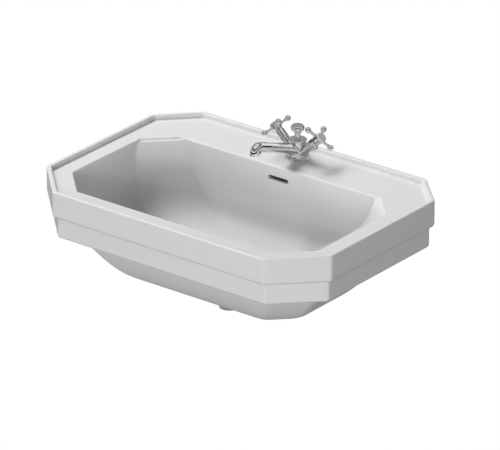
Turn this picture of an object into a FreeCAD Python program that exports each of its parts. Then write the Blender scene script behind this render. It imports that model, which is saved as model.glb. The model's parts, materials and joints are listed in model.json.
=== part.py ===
"""Wall-hung octagonal washbasin with a two-handle mixer and a pop-up waste.

Millimetres, +Z up, +X to the right, the wall is the plane Y = 0 and the basin stands out towards -Y.
The origin is the middle of the two wall-bolt holes, on the wall. Heights in the basin are given as
depths below the rim. The mixer is built in a frame on the tap deck, the waste in a frame under the
drain, and each valve in a frame whose +Z runs out along its tilted arm.
"""
import FreeCAD, Part
import Sketcher
import math
import os
import re

# ---------------------------------------------------------------- driving sizes

SIZES = {
    # basin, outside
    "basin_width": (700.0, "rim, left to right"),
    "basin_projection": (495.0, "rim, wall to front"),
    "basin_height": (202.0, "rim to the lowest point of the ceramic"),
    "rim_height": (75.0, "rim above the wall bolts"),
    "front_cut": (92.0, "front corner chamfer, each leg"),
    "back_cut": (74.0, "back corner chamfer, each leg"),
    "band_height": (57.0, "rim down to the step in the skirt"),
    "skirt_height": (100.0, "rim down to the bottom of the skirt"),
    "step_inset": (9.5, "lower skirt set back under the upper band"),
    "lip_width": (10.0, "raised lip along the rim"),
    "lip_height": (8.5, "lip above the tap deck"),
    "ceramic_wall": (8.0, "shell thickness"),
    "rim_round": (2.5, "edges of the raised lip"),
    "step_round": (9.0, "lower edge of the upper band"),
    "skirt_round": (6.0, "lower edge of the skirt"),
    "bowl_round": (4.5, "edge of the bowl at the deck"),
    "deck_wall": (11.0, "thickness of the tap deck"),
    "back_wall": (14.0, "thickness of the wall panel"),
    # basin, bowl
    "bowl_width": (600.0, "opening at the deck"),
    "bowl_front": (49.0, "front of the rim to the opening"),
    "bowl_back": (115.0, "wall to the opening"),
    "bowl_front_cut": (65.0, "front chamfer of the opening"),
    "bowl_back_cut": (56.0, "back chamfer of the opening"),
    "bowl_depth": (148.0, "rim to the edge of the bowl floor"),
    "bowl_side_cove": (195.0, "how far the sides run in by the floor"),
    "bowl_front_cove": (60.0, "how far the front runs in by the floor"),
    "bowl_back_cove": (100.0, "how far the back runs in by the floor"),
    "bowl_cut_growth": (30.0, "how much wider the two back corner facets get by the floor"),
    # basin, underside
    "dish_width": (600.0, "underside dish at the skirt"),
    "dish_front": (47.0, "front of the rim to the dish at the skirt"),
    "dish_back": (81.0, "wall to the dish at the skirt"),
    "dish_cut": (70.0, "corner facet of the dish at the skirt"),
    "dish_side_run": (108.0, "how far the dish sides run in by the bottom"),
    "dish_end_run": (91.0, "how far the dish ends run in by the bottom"),
    "dish_cut_loss": (28.0, "how much narrower its corner facets get by the bottom"),
    "service_width": (500.0, "opening under the deck, behind the bowl"),
    # basin, holes
    "drain_setback": (270.0, "wall to the drain"),
    "drain_hole_r": (22.5, "hole for the waste"),
    "drain_recess_r": (33.0, "seat of the waste flange"),
    "drain_recess_depth": (3.5, "depth of that seat below the floor"),
    "overflow_width": (48.0, "overflow slot"),
    "overflow_height": (8.5, "overflow slot"),
    "overflow_depth": (34.5, "rim to the middle of the slot"),
    "tap_setback": (53.0, "wall to the tap hole"),
    "tap_hole_r": (17.5, "tap hole"),
    "bolt_spacing": (280.0, "between the wall bolts"),
    "bolt_hole_r": (9.0, "wall-bolt holes"),
    # clearances
    "running_fit": (0.05, "radial play of a shaft in its hole"),
    "free_gap": (0.4, "gap between pieces that move past each other"),
    # mixer body
    "base_r": (25.5, "base flange"),
    "base_thickness": (5.0, "base flange"),
    "neck_r": (18.0, "body where the base flange fits round it"),
    "spigot_r": (16.0, "body inside the tap hole"),
    "spigot_length": (6.0, "body inside the tap hole"),
    "body_r": (16.5, "body above the flare"),
    "body_height": (36.0, "deck to the top of the body"),
    "flare_r": (21.5, "foot of the body on the base flange"),
    "flare_height": (8.0, "height of the flare"),
    "seal_r": (21.5, "middle of the base seal"),
    "seal_width": (3.0, "base seal"),
    "seal_thickness": (1.5, "base seal"),
    "cap_r": (18.5, "top cap"),
    "cap_thickness": (3.5, "top cap"),
    "cap_spigot_r": (12.0, "top cap inside the body"),
    "cap_spigot_length": (2.5, "top cap inside the body"),
    "guide_r": (5.0, "rod guide"),
    "inlet_r": (5.0, "threaded inlet"),
    "inlet_x": (9.8, "inlet from the middle"),
    "inlet_y": (-2.0, "inlet in front of the middle"),
    "inlet_depth": (11.5, "thread inside the inlet"),
    "water_way_r": (3.0, "water ways inside the body"),
    # spout
    "spout_rise": (21.0, "degrees above level"),
    "spout_root_height": (22.5, "axis at the body's face"),
    "spout_root_r": (11.8, "outside at the body"),
    "spout_r": (9.3, "outside at the elbow"),
    "spout_bore_r": (6.0, "water way"),
    "spout_elbow_r": (11.0, "bend of the elbow"),
    "spout_reach": (130.0, "tap axis to outlet axis"),
    "outlet_length": (2.0, "straight end below the elbow"),
    "aerator_r": (8.0, "seat in the outlet"),
    "aerator_depth": (4.5, "seat in the outlet"),
    "aerator_wall": (1.4, "aerator housing"),
    "aerator_seal_thickness": (1.0, "aerator seal"),
    # valves
    "arm_tilt": (43.0, "degrees above level"),
    "arm_root_height": (3.0, "where the arm axes meet, above the deck"),
    "arm_r": (9.75, "arm and sleeve, outside"),
    "arm_start": (8.0, "inner end of the arm"),
    "arm_length": (46.0, "outer end of the arm"),
    "chamber_r": (8.0, "bore for the cartridge"),
    "chamber_start": (26.0, "valve seat along the arm"),
    "seat_seal_thickness": (2.0, "rubber seat seal"),
    "disc_r": (7.0, "ceramic discs"),
    "disc_thickness": (3.0, "ceramic discs"),
    "disc_port_r": (2.3, "port in a disc"),
    "disc_port_offset": (3.6, "port from the middle"),
    "cartridge_collar": (3.0, "collar outside the arm"),
    "spindle_r": (3.5, "valve spindle"),
    "spindle_plate": (2.2, "drive plate on the moving disc"),
    "spindle_tip_r": (3.0, "spindle inside the handle"),
    "spindle_groove_r": (2.6, "bottom of the seal groove"),
    "spindle_groove_at": (42.0, "seal groove along the arm"),
    "spindle_groove_width": (1.8, "seal groove"),
    "sleeve_end": (63.0, "outer end of the sleeve along the arm"),
    "sleeve_wall": (2.5, "valve sleeve"),
    "handle_start": (64.2, "handle hub along the arm"),
    "handle_end": (80.0, "handle hub along the arm"),
    "handle_centre": (73.0, "plane of the four handle arms"),
    "hub_r": (10.6, "handle hub"),
    "hub_foot_r": (8.6, "handle hub at its foot"),
    "hub_pocket_r": (8.4, "pocket under the index cap"),
    "hub_pocket_depth": (5.0, "pocket under the index cap"),
    "cross_reach": (29.0, "arm axis to ball centre"),
    "cross_arm_r": (2.9, "handle arms"),
    "cross_ball_r": (6.0, "balls"),
    "index_r": (10.3, "index cap"),
    "index_thickness": (2.2, "index cap"),
    "index_spigot": (1.2, "index cap inside the hub"),
    "screw_r": (2.0, "handle screw shank"),
    "screw_length": (10.0, "handle screw shank"),
    "screw_head_r": (3.6, "handle screw head"),
    "screw_head": (2.2, "handle screw head"),
    "hot_turn": (-30.0, "degrees, how the hot handle stands at rest"),
    "cold_turn": (27.0, "degrees, how the cold handle stands at rest"),
    # lift knob and linkage
    "rod_r": (2.5, "lift rod and ball rod"),
    "knob_gap": (0.3, "knob above the cap at rest"),
    "knob_neck_r": (6.0, "knob neck"),
    "knob_neck": (12.0, "knob neck"),
    "knob_r": (13.75, "knob"),
    "knob_flare": (11.0, "knob flare above the neck"),
    "knob_crown": (6.0, "knob crown above the flare"),
    "knob_top_r": (11.25, "knob top"),
    "knob_bore": (20.0, "rod inside the knob"),
    "rod_end": (176.0, "deck to the lower end of the lift rod"),
    "strap_top": (152.0, "deck to the upper end of the strap"),
    "strap_width": (13.0, "strap"),
    "strap_thickness": (2.4, "strap"),
    "strap_gap": (1.0, "strap behind the lift rod"),
    "strap_tail": (9.0, "strap below the ball rod"),
    "strap_hole_r": (3.9, "holes in the strap"),
    "clamp_height": (16.0, "rod clamp"),
    "clamp_wall": (2.2, "rod clamp round the rod"),
    "clamp_gap": (0.5, "rod clamp's wide part in front of the strap"),
    "clamp_screw_r": (2.0, "clamp screw"),
    "clamp_head_r": (5.0, "clamp screw head"),
    "clamp_head": (7.0, "clamp screw head"),
    "lift_travel": (40.0, "lift rod travel"),
    # under the deck
    "stud_r": (4.0, "mounting stud"),
    "stud_y": (11.0, "stud behind the tap axis"),
    "stud_depth": (75.0, "deck to the stud's lower end"),
    "stud_grip": (9.0, "stud inside the body"),
    "horseshoe_r": (24.0, "washer and clamp plate"),
    "horseshoe_slot": (31.0, "their open slot"),
    "horseshoe_bridge": (5.6, "slot's end behind the tap axis"),
    "rubber_thickness": (3.0, "rubber washer"),
    "plate_thickness": (3.0, "clamp plate"),
    "nut_length": (25.0, "long clamp nut"),
    "nut_r": (7.5, "clamp nut, over its corners"),
    # waste
    "waste_flange_r": (31.5, "flange in the bowl"),
    "waste_flange_thickness": (2.5, "flange thickness"),
    "flange_seal_thickness": (1.0, "seal under the flange"),
    "waste_clearance": (1.6, "threaded tube inside the hole in the ceramic"),
    "waste_wall": (3.4, "threaded tube"),
    "waste_r": ("=drain_hole_r - waste_clearance", "threaded tube"),
    "waste_bore_r": ("=waste_r - waste_wall", "threaded tube, inside"),
    "waste_tube_end": (22.0, "basin underside to the tube's lower end"),
    "waste_slot_width": (12.0, "overflow windows"),
    "waste_slot_height": (18.0, "overflow windows"),
    "waste_slot_at": (24.0, "overflow windows above the underside"),
    "gasket_r": (33.0, "lower gasket and washer"),
    "gasket_thickness": (4.0, "lower gasket"),
    "washer_thickness": (1.5, "slip washer"),
    "back_nut_height": (7.5, "back nut"),
    "back_nut_r": (30.0, "back nut, over its corners"),
    "body_top": (14.0, "basin underside to the waste body"),
    "body_end": (50.0, "basin underside to the outlet"),
    "waste_body_r": (24.0, "waste body round the tube"),
    "waste_out_step": (1.5, "outlet bore inside the tube's bore"),
    "waste_out_bore_r": ("=waste_bore_r - waste_out_step", "outlet bore"),
    "body_seal_thickness": (1.5, "seal under the tube"),
    "port_depth": (33.0, "basin underside to the ball-rod port"),
    "port_r": (8.4, "ball-rod port, outside"),
    "port_bore_r": (6.6, "ball-rod port, bore"),
    "pivot_out": (32.0, "drain axis to the ball"),
    "ball_r": (5.5, "ball on the ball rod"),
    "port_lip": (6.0, "port beyond the middle of the ball"),
    "rod_tip": (5.0, "ball rod beyond the plug eye"),
    "rod_tail": (10.0, "ball rod beyond the strap"),
    "port_nut_r": (11.5, "port nut"),
    "port_nut_wall": (2.5, "port nut, end wall"),
    "port_nut_grip": (8.0, "port nut over the port"),
    "ring_r": (5.0, "retaining rings"),
    "ring_width": (2.0, "retaining rings"),
    "ring_gap": (3.0, "rings from the strap's middle"),
    # plug
    "plug_r": (21.0, "plug head"),
    "plug_shoulder_r": (16.8, "plug head, outside of its crown"),
    "plug_crown_r": (8.4, "plug head, flat middle"),
    "plug_thickness": (4.0, "plug head"),
    "plug_gap": (0.4, "head above the flange when shut"),
    "plug_seal_gap": (0.6, "plug seal inside the tube"),
    "plug_seal_r": ("=waste_bore_r - plug_seal_gap", "plug seal"),
    "plug_seal_thickness": (2.5, "plug seal"),
    "plug_stem_r": (4.0, "plug stem"),
    "plug_guide_height": (10.0, "plug guide"),
    "plug_guide_at": (38.0, "plug guide above the underside, when shut"),
    "plug_fin": (2.5, "fins of the plug guide"),
    "plug_eye_r": (6.2, "eye at the stem's end"),
    "plug_eye_hole_r": (3.3, "hole in the eye"),
    "plug_eye_thickness": (3.0, "eye thickness"),
}

doc = FreeCAD.newDocument("Washbasin")
sheet = doc.addObject("Spreadsheet::Sheet", "Sizes")
for row, (alias, (number, note)) in enumerate(SIZES.items(), start=1):
    sheet.set("A%d" % row, alias)
    sheet.set("B%d" % row, str(number))
    sheet.set("C%d" % row, note)
    sheet.setAlias("B%d" % row, alias)
doc.recompute()


def size(alias):
    """The number in one cell of the sheet."""
    return float(sheet.get(alias))


def cells(text):
    """An expression with each size's name turned into its cell."""
    return re.sub(r"[a-z_]+", lambda word: ("Sizes." if word.group() in SIZES else "") + word.group(),
                  str(text))


# ---------------------------------------------------------------- frames

def frame_at(across, along, up, axis="0; 0; 1", turn="0"):
    """A placement expression: a place, and a turn about an axis."""
    return "placement(vector(%s; %s; %s); rotation(vector(%s); %s))" % (across, along, up, axis, turn)


def under(outer, inner):
    """The placement of a frame inside another frame."""
    return outer + " * " + inner


BASIN = frame_at("0", "0", "0")
TAP = frame_at("0", "-tap_setback", "rim_height - lip_height")
DRAIN = frame_at("0", "-drain_setback", "rim_height - basin_height")
ARM = {
    "hot": under(TAP, frame_at("0", "0", "arm_root_height", "0; 1; 0", "arm_tilt - 90")),
    "cold": under(TAP, frame_at("0", "0", "arm_root_height", "0; 1; 0", "90 - arm_tilt")),
}
SPOUT = under(TAP, frame_at("0", "0", "spout_root_height - body_r * tan(spout_rise)",
                            "1; 0; 0", "90 - spout_rise"))
PORT = under(DRAIN, frame_at("0", "pivot_out", "-port_depth", "1; 0; 0", "-90"))

# The ball rod's arms, and how far it tilts down at rest so that it swings evenly about level.
ROD_REACH = "(drain_setback - tap_setback - pivot_out)"
ROD_TILT = "asin(lift_travel / 2 / %s)" % ROD_REACH
BALL_ROD = under(PORT, frame_at("0", "0", "0", "1; 0; 0", "-" + ROD_TILT))
PLUG_LIFT = "(lift_travel * pivot_out / %s)" % ROD_REACH


# ---------------------------------------------------------------- ways to make a piece

def link(item, **bindings):
    """Bind properties of an object to expressions."""
    for name, text in bindings.items():
        item.setExpression(name, cells(text))
    return item


def fresh(kind, label):
    """A new object of the document with its own label."""
    item = doc.addObject(kind, label)
    item.Label = label
    return item


def rod(label, radius, low, high, at=("0", "0"), frame=BASIN):
    """A cylinder along its frame's Z, from low to high."""
    item = fresh("Part::Cylinder", label)
    place = under(frame, frame_at(at[0], at[1], low))
    return link(item, Radius=radius, Height="(%s) - (%s)" % (high, low), Placement=place)


def block(label, low, high, frame=BASIN):
    """A box between two corners."""
    item = fresh("Part::Box", label)
    spans = ["(%s) - (%s)" % (top, bottom) for bottom, top in zip(low, high)]
    place = under(frame, frame_at(*low))
    return link(item, Length=spans[0], Width=spans[1], Height=spans[2], Placement=place)


def ball(label, radius, at, frame=BASIN):
    """A sphere."""
    item = fresh("Part::Sphere", label)
    return link(item, Radius=radius, Placement=under(frame, frame_at(*at)))


def cone(label, start_radius, end_radius, low, high, frame=BASIN):
    """A cone along its frame's Z."""
    item = fresh("Part::Cone", label)
    span = "(%s) - (%s)" % (high, low)
    place = under(frame, frame_at("0", "0", low))
    return link(item, Radius1=start_radius, Radius2=end_radius, Height=span, Placement=place)


def hexagon(label, corner_radius, low, high, at=("0", "0"), frame=BASIN):
    """A hexagonal prism along its frame's Z."""
    item = fresh("Part::Prism", label)
    item.Polygon = 6
    place = under(frame, frame_at(at[0], at[1], low))
    return link(item, Circumradius=corner_radius, Height="(%s) - (%s)" % (high, low), Placement=place)


def joined(label, *pieces):
    """One solid made of several."""
    item = fresh("Part::MultiFuse", label)
    item.Shapes = list(pieces)
    item.Refine = True
    return item


def less(label, base, *tools):
    """A solid with others cut out of it."""
    item = fresh("Part::Cut", label)
    item.Base = base
    item.Tool = tools[0] if len(tools) == 1 else joined(label + "_cuts", *tools)
    item.Refine = True
    return item


def shared(label, *pieces):
    """What several solids have in common."""
    item = fresh("Part::MultiCommon", label)
    item.Shapes = list(pieces)
    return item


def sketch_on(body, name, role):
    """An empty sketch on one of the body's origin planes."""
    sketch = body.newObject("Sketcher::SketchObject", name)
    plane = [item for item in body.Origin.OriginFeatures if item.Role == role][0]
    sketch.AttachmentSupport = [(plane, "")]
    sketch.MapMode = "FlatFace"
    return sketch


def draw_outline(sketch, corners):
    """A closed outline of straight lines whose corners are bound to expressions."""
    count = len(corners)
    start = [FreeCAD.Vector(math.cos(2 * math.pi * turn / count), math.sin(2 * math.pi * turn / count), 0)
             for turn in range(count)]
    for number in range(count):
        sketch.addGeometry(Part.LineSegment(start[number], start[(number + 1) % count]), False)
    for number in range(count):
        sketch.addConstraint(Sketcher.Constraint("Coincident", number, 2, (number + 1) % count, 1))
    for number, corner in enumerate(corners):
        for direction, text in zip(("DistanceX", "DistanceY"), corner):
            index = sketch.addConstraint(Sketcher.Constraint(direction, -1, 1, number, 1, 1.0 + number))
            sketch.setExpression("Constraints[%d]" % index, cells(text))
    return sketch


def lathe(label, outline, frame=BASIN):
    """A turned piece: an outline of (radius, height) corners, revolved about its frame's Z."""
    body = fresh("PartDesign::Body", label)
    sketch = draw_outline(sketch_on(body, label + "_outline", "XZ_Plane"), outline)
    turned = body.newObject("PartDesign::Revolution", label + "_turned")
    turned.Profile = sketch
    turned.ReferenceAxis = (sketch, ["V_Axis"])
    turned.Angle = 360.0
    return link(body, Placement=frame)


def ring(label, inner, outer, low, high, frame=BASIN):
    """A plain ring or washer."""
    return lathe(label, [(inner, low), (outer, low), (outer, high), (inner, high)], frame)


# ---------------------------------------------------------------- basin

# A 45 degree corner loses this much of each leg for each millimetre that all its sides move in, and
# gains the second amount when the wall side stays where it is.
CORNER_LOSS = 2.0 - math.sqrt(2.0)
CORNER_GAIN = math.sqrt(2.0) - 1.0

# Points this close, in millimetres, are taken as the same.
NEAR = 0.01


def octagon(body, name, depth, half_width, front, back, front_cut, back_cut):
    """A level octagon: front and back are distances from the wall."""
    sketch = sketch_on(body, name, "XY_Plane")
    link(sketch, **{"AttachmentOffset": frame_at("0", "0", "rim_height - (%s)" % depth)})
    right = [
        ("(%s) - (%s)" % (half_width, back_cut), "-(%s)" % back),
        (half_width, "-(%s) - (%s)" % (back, back_cut)),
        (half_width, "-(%s) + (%s)" % (front, front_cut)),
        ("(%s) - (%s)" % (half_width, front_cut), "-(%s)" % front),
    ]
    left = [("-(%s)" % across, along) for across, along in reversed(right)]
    return draw_outline(sketch, right + left)


def loft(body, name, sections, cut=False):
    """Flat facets from section to section, added to the body or cut from it."""
    kind = "PartDesign::SubtractiveLoft" if cut else "PartDesign::AdditiveLoft"
    item = body.newObject(kind, name)
    item.Profile = sections[0]
    item.Sections = sections[1:]
    item.Ruled = True
    doc.recompute()
    return item


def band(body, name, top, bottom, inset, cut=False, back="0", back_gain=CORNER_GAIN):
    """A vertical stretch of the rim's octagon, moved in by inset all round except at the wall."""
    shape = ("basin_width / 2 - (%s)" % inset, "basin_projection - (%s)" % inset, back,
             "front_cut - %.6f * (%s)" % (CORNER_LOSS, inset), "back_cut + %.6f * (%s)" % (back_gain, inset))
    levels = [octagon(body, name + "_top", top, *shape), octagon(body, name + "_bottom", bottom, *shape)]
    return loft(body, name, levels, cut)


def round_edges(body, name, radius, depth, wanted):
    """Round the level edges at one depth below the rim whose two ends are both wanted."""
    doc.recompute()
    level = size("rim_height") - depth
    names = []
    for number, edge in enumerate(body.Tip.Shape.Edges, start=1):
        ends = [vertex.Point for vertex in edge.Vertexes]
        level_edge = len(ends) == 2 and all(abs(end.z - level) < NEAR for end in ends)
        at_wall = all(abs(end.y) < NEAR for end in ends)
        if level_edge and not at_wall and all(wanted(end) for end in ends):
            names.append("Edge%d" % number)
    base = body.Tip
    item = body.newObject("PartDesign::Fillet", name)
    item.Base = (base, names)
    return link(item, Radius=radius)


def on_octagon(point, half_width, front, back):
    """True where a point lies on one of the sides of an octagon that run straight across or along."""
    side = abs(abs(point.x) - half_width) < NEAR
    return side or abs(point.y + front) < NEAR or abs(point.y + back) < NEAR


def on_rim(point):
    return on_octagon(point, size("basin_width") / 2, size("basin_projection"), 0.0)


def on_bowl_edge(point):
    return on_octagon(point, size("bowl_width") / 2, size("basin_projection") - size("bowl_front"),
                      size("bowl_back"))


def anywhere(point):
    return True


BOWL_TURNS = [0.0, 12.0, 24.0, 36.0, 48.0, 60.0, 72.0, 84.0, 90.0]
BOWL_COVE_POWER = 1.22
BOWL_CUT_POWER = 0.35
DISH_TURNS = [0.0, 18.0, 30.0, 45.0, 60.0, 75.0, 90.0]
DISH_RUN_POWER = 0.54


def bowl_level(body, name, turn, outset="0", sunk="0"):
    """One level of the bowl: turn runs from 0 at the deck to 90 at the floor."""
    cove = (1.0 - math.cos(math.radians(turn))) ** BOWL_COVE_POWER
    growth = math.sin(math.radians(turn)) ** BOWL_CUT_POWER
    drop = math.sin(math.radians(turn))
    corner = "%.6f * (%s)" % (CORNER_LOSS, outset)
    return octagon(body, name, "lip_height + %.6f * (bowl_depth - lip_height) + (%s)" % (drop, sunk),
                   "bowl_width / 2 - %.6f * bowl_side_cove + (%s)" % (cove, outset),
                   "basin_projection - bowl_front - %.6f * bowl_front_cove + (%s)" % (cove, outset),
                   "bowl_back + %.6f * bowl_back_cove - (%s)" % (cove, outset),
                   "bowl_front_cut + " + corner,
                   "bowl_back_cut + %.6f * bowl_cut_growth + %s" % (growth, corner))


def dish_level(body, name, turn, inset="0", raised="0"):
    """One level of the underside dish: turn runs from 0 at the skirt to 90 at the bottom."""
    run = (1.0 - math.cos(math.radians(turn))) ** DISH_RUN_POWER
    drop = math.sin(math.radians(turn))
    cut = "dish_cut - %.6f * dish_cut_loss - %.6f * (%s)" % (run, CORNER_LOSS, inset)
    return octagon(body, name, "skirt_height + %.6f * (basin_height - skirt_height) - (%s)" % (drop, raised),
                   "dish_width / 2 - %.6f * dish_side_run - (%s)" % (run, inset),
                   "basin_projection - dish_front - %.6f * dish_end_run - (%s)" % (run, inset),
                   "dish_back + %.6f * dish_end_run + (%s)" % (run, inset), cut, cut)


def make_basin():
    """The ceramic: a double-walled casting, open behind the bowl for the tap and the wall bolts."""
    body = fresh("PartDesign::Body", "basin_casting")
    band(body, "upper_band", "0", "band_height", "0")
    band(body, "lower_band", "band_height - 1", "skirt_height", "step_inset")
    round_edges(body, "step_rounding", "step_round", size("band_height"), on_rim)
    round_edges(body, "skirt_rounding", "skirt_round", size("skirt_height"), anywhere)
    band(body, "deck_recess", "-1", "lip_height", "lip_width", cut=True, back="lip_width",
         back_gain=-CORNER_LOSS)
    round_edges(body, "rim_rounding", "rim_round", 0.0, anywhere)
    loft(body, "dish", [dish_level(body, "dish_%d" % turn, turn) for turn in DISH_TURNS])
    band(body, "skirt_hollow", "lip_height + deck_wall", "skirt_height - ceramic_wall",
         "step_inset + ceramic_wall", cut=True, back="back_wall", back_gain=0.0)
    hollow = [dish_level(body, "hollow_%d" % turn, turn, "ceramic_wall", "ceramic_wall + 1")
              for turn in DISH_TURNS]
    loft(body, "dish_hollow", hollow, cut=True)
    shell = [bowl_level(body, "shell_%d" % turn, turn, "ceramic_wall", "ceramic_wall") for turn in BOWL_TURNS]
    loft(body, "bowl_shell", shell)
    rise = octagon(body, "bowl_mouth", "-1", "bowl_width / 2", "basin_projection - bowl_front", "bowl_back",
                   "bowl_front_cut", "bowl_back_cut")
    loft(body, "bowl", [rise] + [bowl_level(body, "bowl_%d" % turn, turn) for turn in BOWL_TURNS], cut=True)
    round_edges(body, "bowl_rounding", "bowl_round", size("lip_height"), on_bowl_edge)

    partition = block("partition", ("-dish_width / 2 + dish_cut / 2", "-dish_back - ceramic_wall",
                                    "rim_height - skirt_height"),
                      ("dish_width / 2 - dish_cut / 2", "-dish_back", "rim_height - lip_height - 1"))
    boss = rod("drain_boss", "drain_hole_r + ceramic_wall", "1", "basin_height - bowl_depth - 1", frame=DRAIN)
    solid = joined("basin_solid", body, partition, boss)

    cuts = [
        block("service_opening", ("-service_width / 2", "-dish_back", "rim_height - skirt_height - 1"),
              ("service_width / 2", "-back_wall", "rim_height - skirt_height + ceramic_wall + 1")),
        rod("drain_bore", "drain_hole_r", "-1", "basin_height - bowl_depth + 1", frame=DRAIN),
        rod("drain_recess", "drain_recess_r", "basin_height - bowl_depth - drain_recess_depth",
            "basin_height - bowl_depth + 1", frame=DRAIN),
        block("boss_windows", ("-drain_hole_r - 2 * ceramic_wall", "-waste_slot_width / 2", "waste_slot_at"),
              ("drain_hole_r + 2 * ceramic_wall", "waste_slot_width / 2",
               "waste_slot_at + waste_slot_height"),
              frame=DRAIN),
        rod("tap_hole", "tap_hole_r", "-deck_wall - 1", "1", frame=TAP),
        block("overflow_slot", ("-overflow_width / 2", "-bowl_back - 10",
                                "rim_height - overflow_depth - overflow_height / 2"),
              ("overflow_width / 2", "-dish_back - ceramic_wall - 1",
               "rim_height - overflow_depth + overflow_height / 2")),
    ]
    for side, sign in (("left", "-"), ("right", "")):
        hole = fresh("Part::Cylinder", side + "_bolt_hole")
        place = frame_at(sign + "bolt_spacing / 2", "1", "0", "1; 0; 0", "90")
        cuts.append(link(hole, Radius="bolt_hole_r", Height="back_wall + 2", Placement=place))
    return less("basin", solid, *cuts)


# ---------------------------------------------------------------- mixer

def make_core():
    """The outside of the mixer body: its turned core and its two arms."""
    core = lathe("mixer_core", [
        ("0", "-spigot_length"), ("spigot_r", "-spigot_length"), ("spigot_r", "0"), ("neck_r", "0"),
        ("neck_r", "base_thickness"), ("flare_r", "base_thickness"),
        ("body_r + 1.5", "base_thickness + flare_height / 3"), ("body_r", "base_thickness + flare_height"),
        ("body_r", "body_height"), ("cap_spigot_r", "body_height"),
        ("cap_spigot_r", "body_height - cap_spigot_length"), ("0", "body_height - cap_spigot_length")], TAP)
    return [core] + [rod(side + "_arm", "arm_r", "arm_start", "arm_length", frame=ARM[side]) for side in ARM]


def make_mixer(core):
    """The fixed pieces of the tap above the deck."""
    base = [("neck_r", "0"), ("base_r", "0"), ("base_r", "base_thickness - 2"),
            ("base_r - 2", "base_thickness"),
            ("neck_r", "base_thickness")]
    groove = ring("seal_groove", "seal_r - seal_width / 2", "seal_r + seal_width / 2", "-1", "seal_thickness",
                  TAP)
    flange = less("base_flange", lathe("base_flange_blank", base, TAP), groove)
    seal = ring("base_seal", "seal_r - seal_width / 2", "seal_r + seal_width / 2", "0", "seal_thickness", TAP)

    blank = joined("mixer_blank", *core)
    ways = [rod("rod_way", "rod_r + free_gap", "-spigot_length - 1", "body_height", frame=TAP),
            rod("stud_hole", "stud_r", "-spigot_length - 1", "stud_grip - spigot_length", ("0", "stud_y"),
                TAP),
            rod("spout_socket", "spout_bore_r + 1.5", "4.5 + rod_r", "body_r + 8", frame=SPOUT)]
    for side, sign in (("hot", "-"), ("cold", "")):
        at = (sign + "inlet_x", "inlet_y")
        meet = "arm_root_height + inlet_x * tan(arm_tilt)"
        ways.append(rod(side + "_inlet", "inlet_r", "-spigot_length - 1", "inlet_depth - spigot_length", at,
                        TAP))
        ways.append(rod(side + "_riser", "water_way_r + 0.5", "-spigot_length", meet, at, TAP))
        ways.append(rod(side + "_seat_way", "water_way_r + 0.5", "inlet_x", "chamber_start + 1",
                        frame=ARM[side]))
        ways.append(rod(side + "_chamber", "chamber_r", "chamber_start", "arm_length + 1", frame=ARM[side]))
    gallery = fresh("Part::Cylinder", "gallery")
    reach = "(chamber_start + 4) * cos(arm_tilt)"
    middle = "arm_root_height + (chamber_start + 4) * sin(arm_tilt)"
    place = under(TAP, frame_at("-" + reach, "-rod_r - free_gap - water_way_r - 1", middle, "0; 1; 0", "90"))
    ways.append(link(gallery, Radius="water_way_r", Height="2 * " + reach, Placement=place))
    ways.append(ring("flange_room", "neck_r", "base_r + 1", "-spigot_length", "base_thickness", TAP))
    body = less("mixer_body", blank, *ways)

    cap = lathe("top_cap", [
        ("guide_r", "body_height - cap_spigot_length"), ("cap_spigot_r", "body_height - cap_spigot_length"),
        ("cap_spigot_r", "body_height"), ("cap_r", "body_height"),
        ("cap_r", "body_height + cap_thickness / 2"),
        ("cap_r - 1.5", "body_height + cap_thickness"), ("guide_r", "body_height + cap_thickness")], TAP)
    guide = ring("rod_guide", "rod_r + running_fit", "guide_r", "body_height - cap_spigot_length",
                 "body_height + cap_thickness", TAP)
    return [flange, seal, body, cap, guide]


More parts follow.
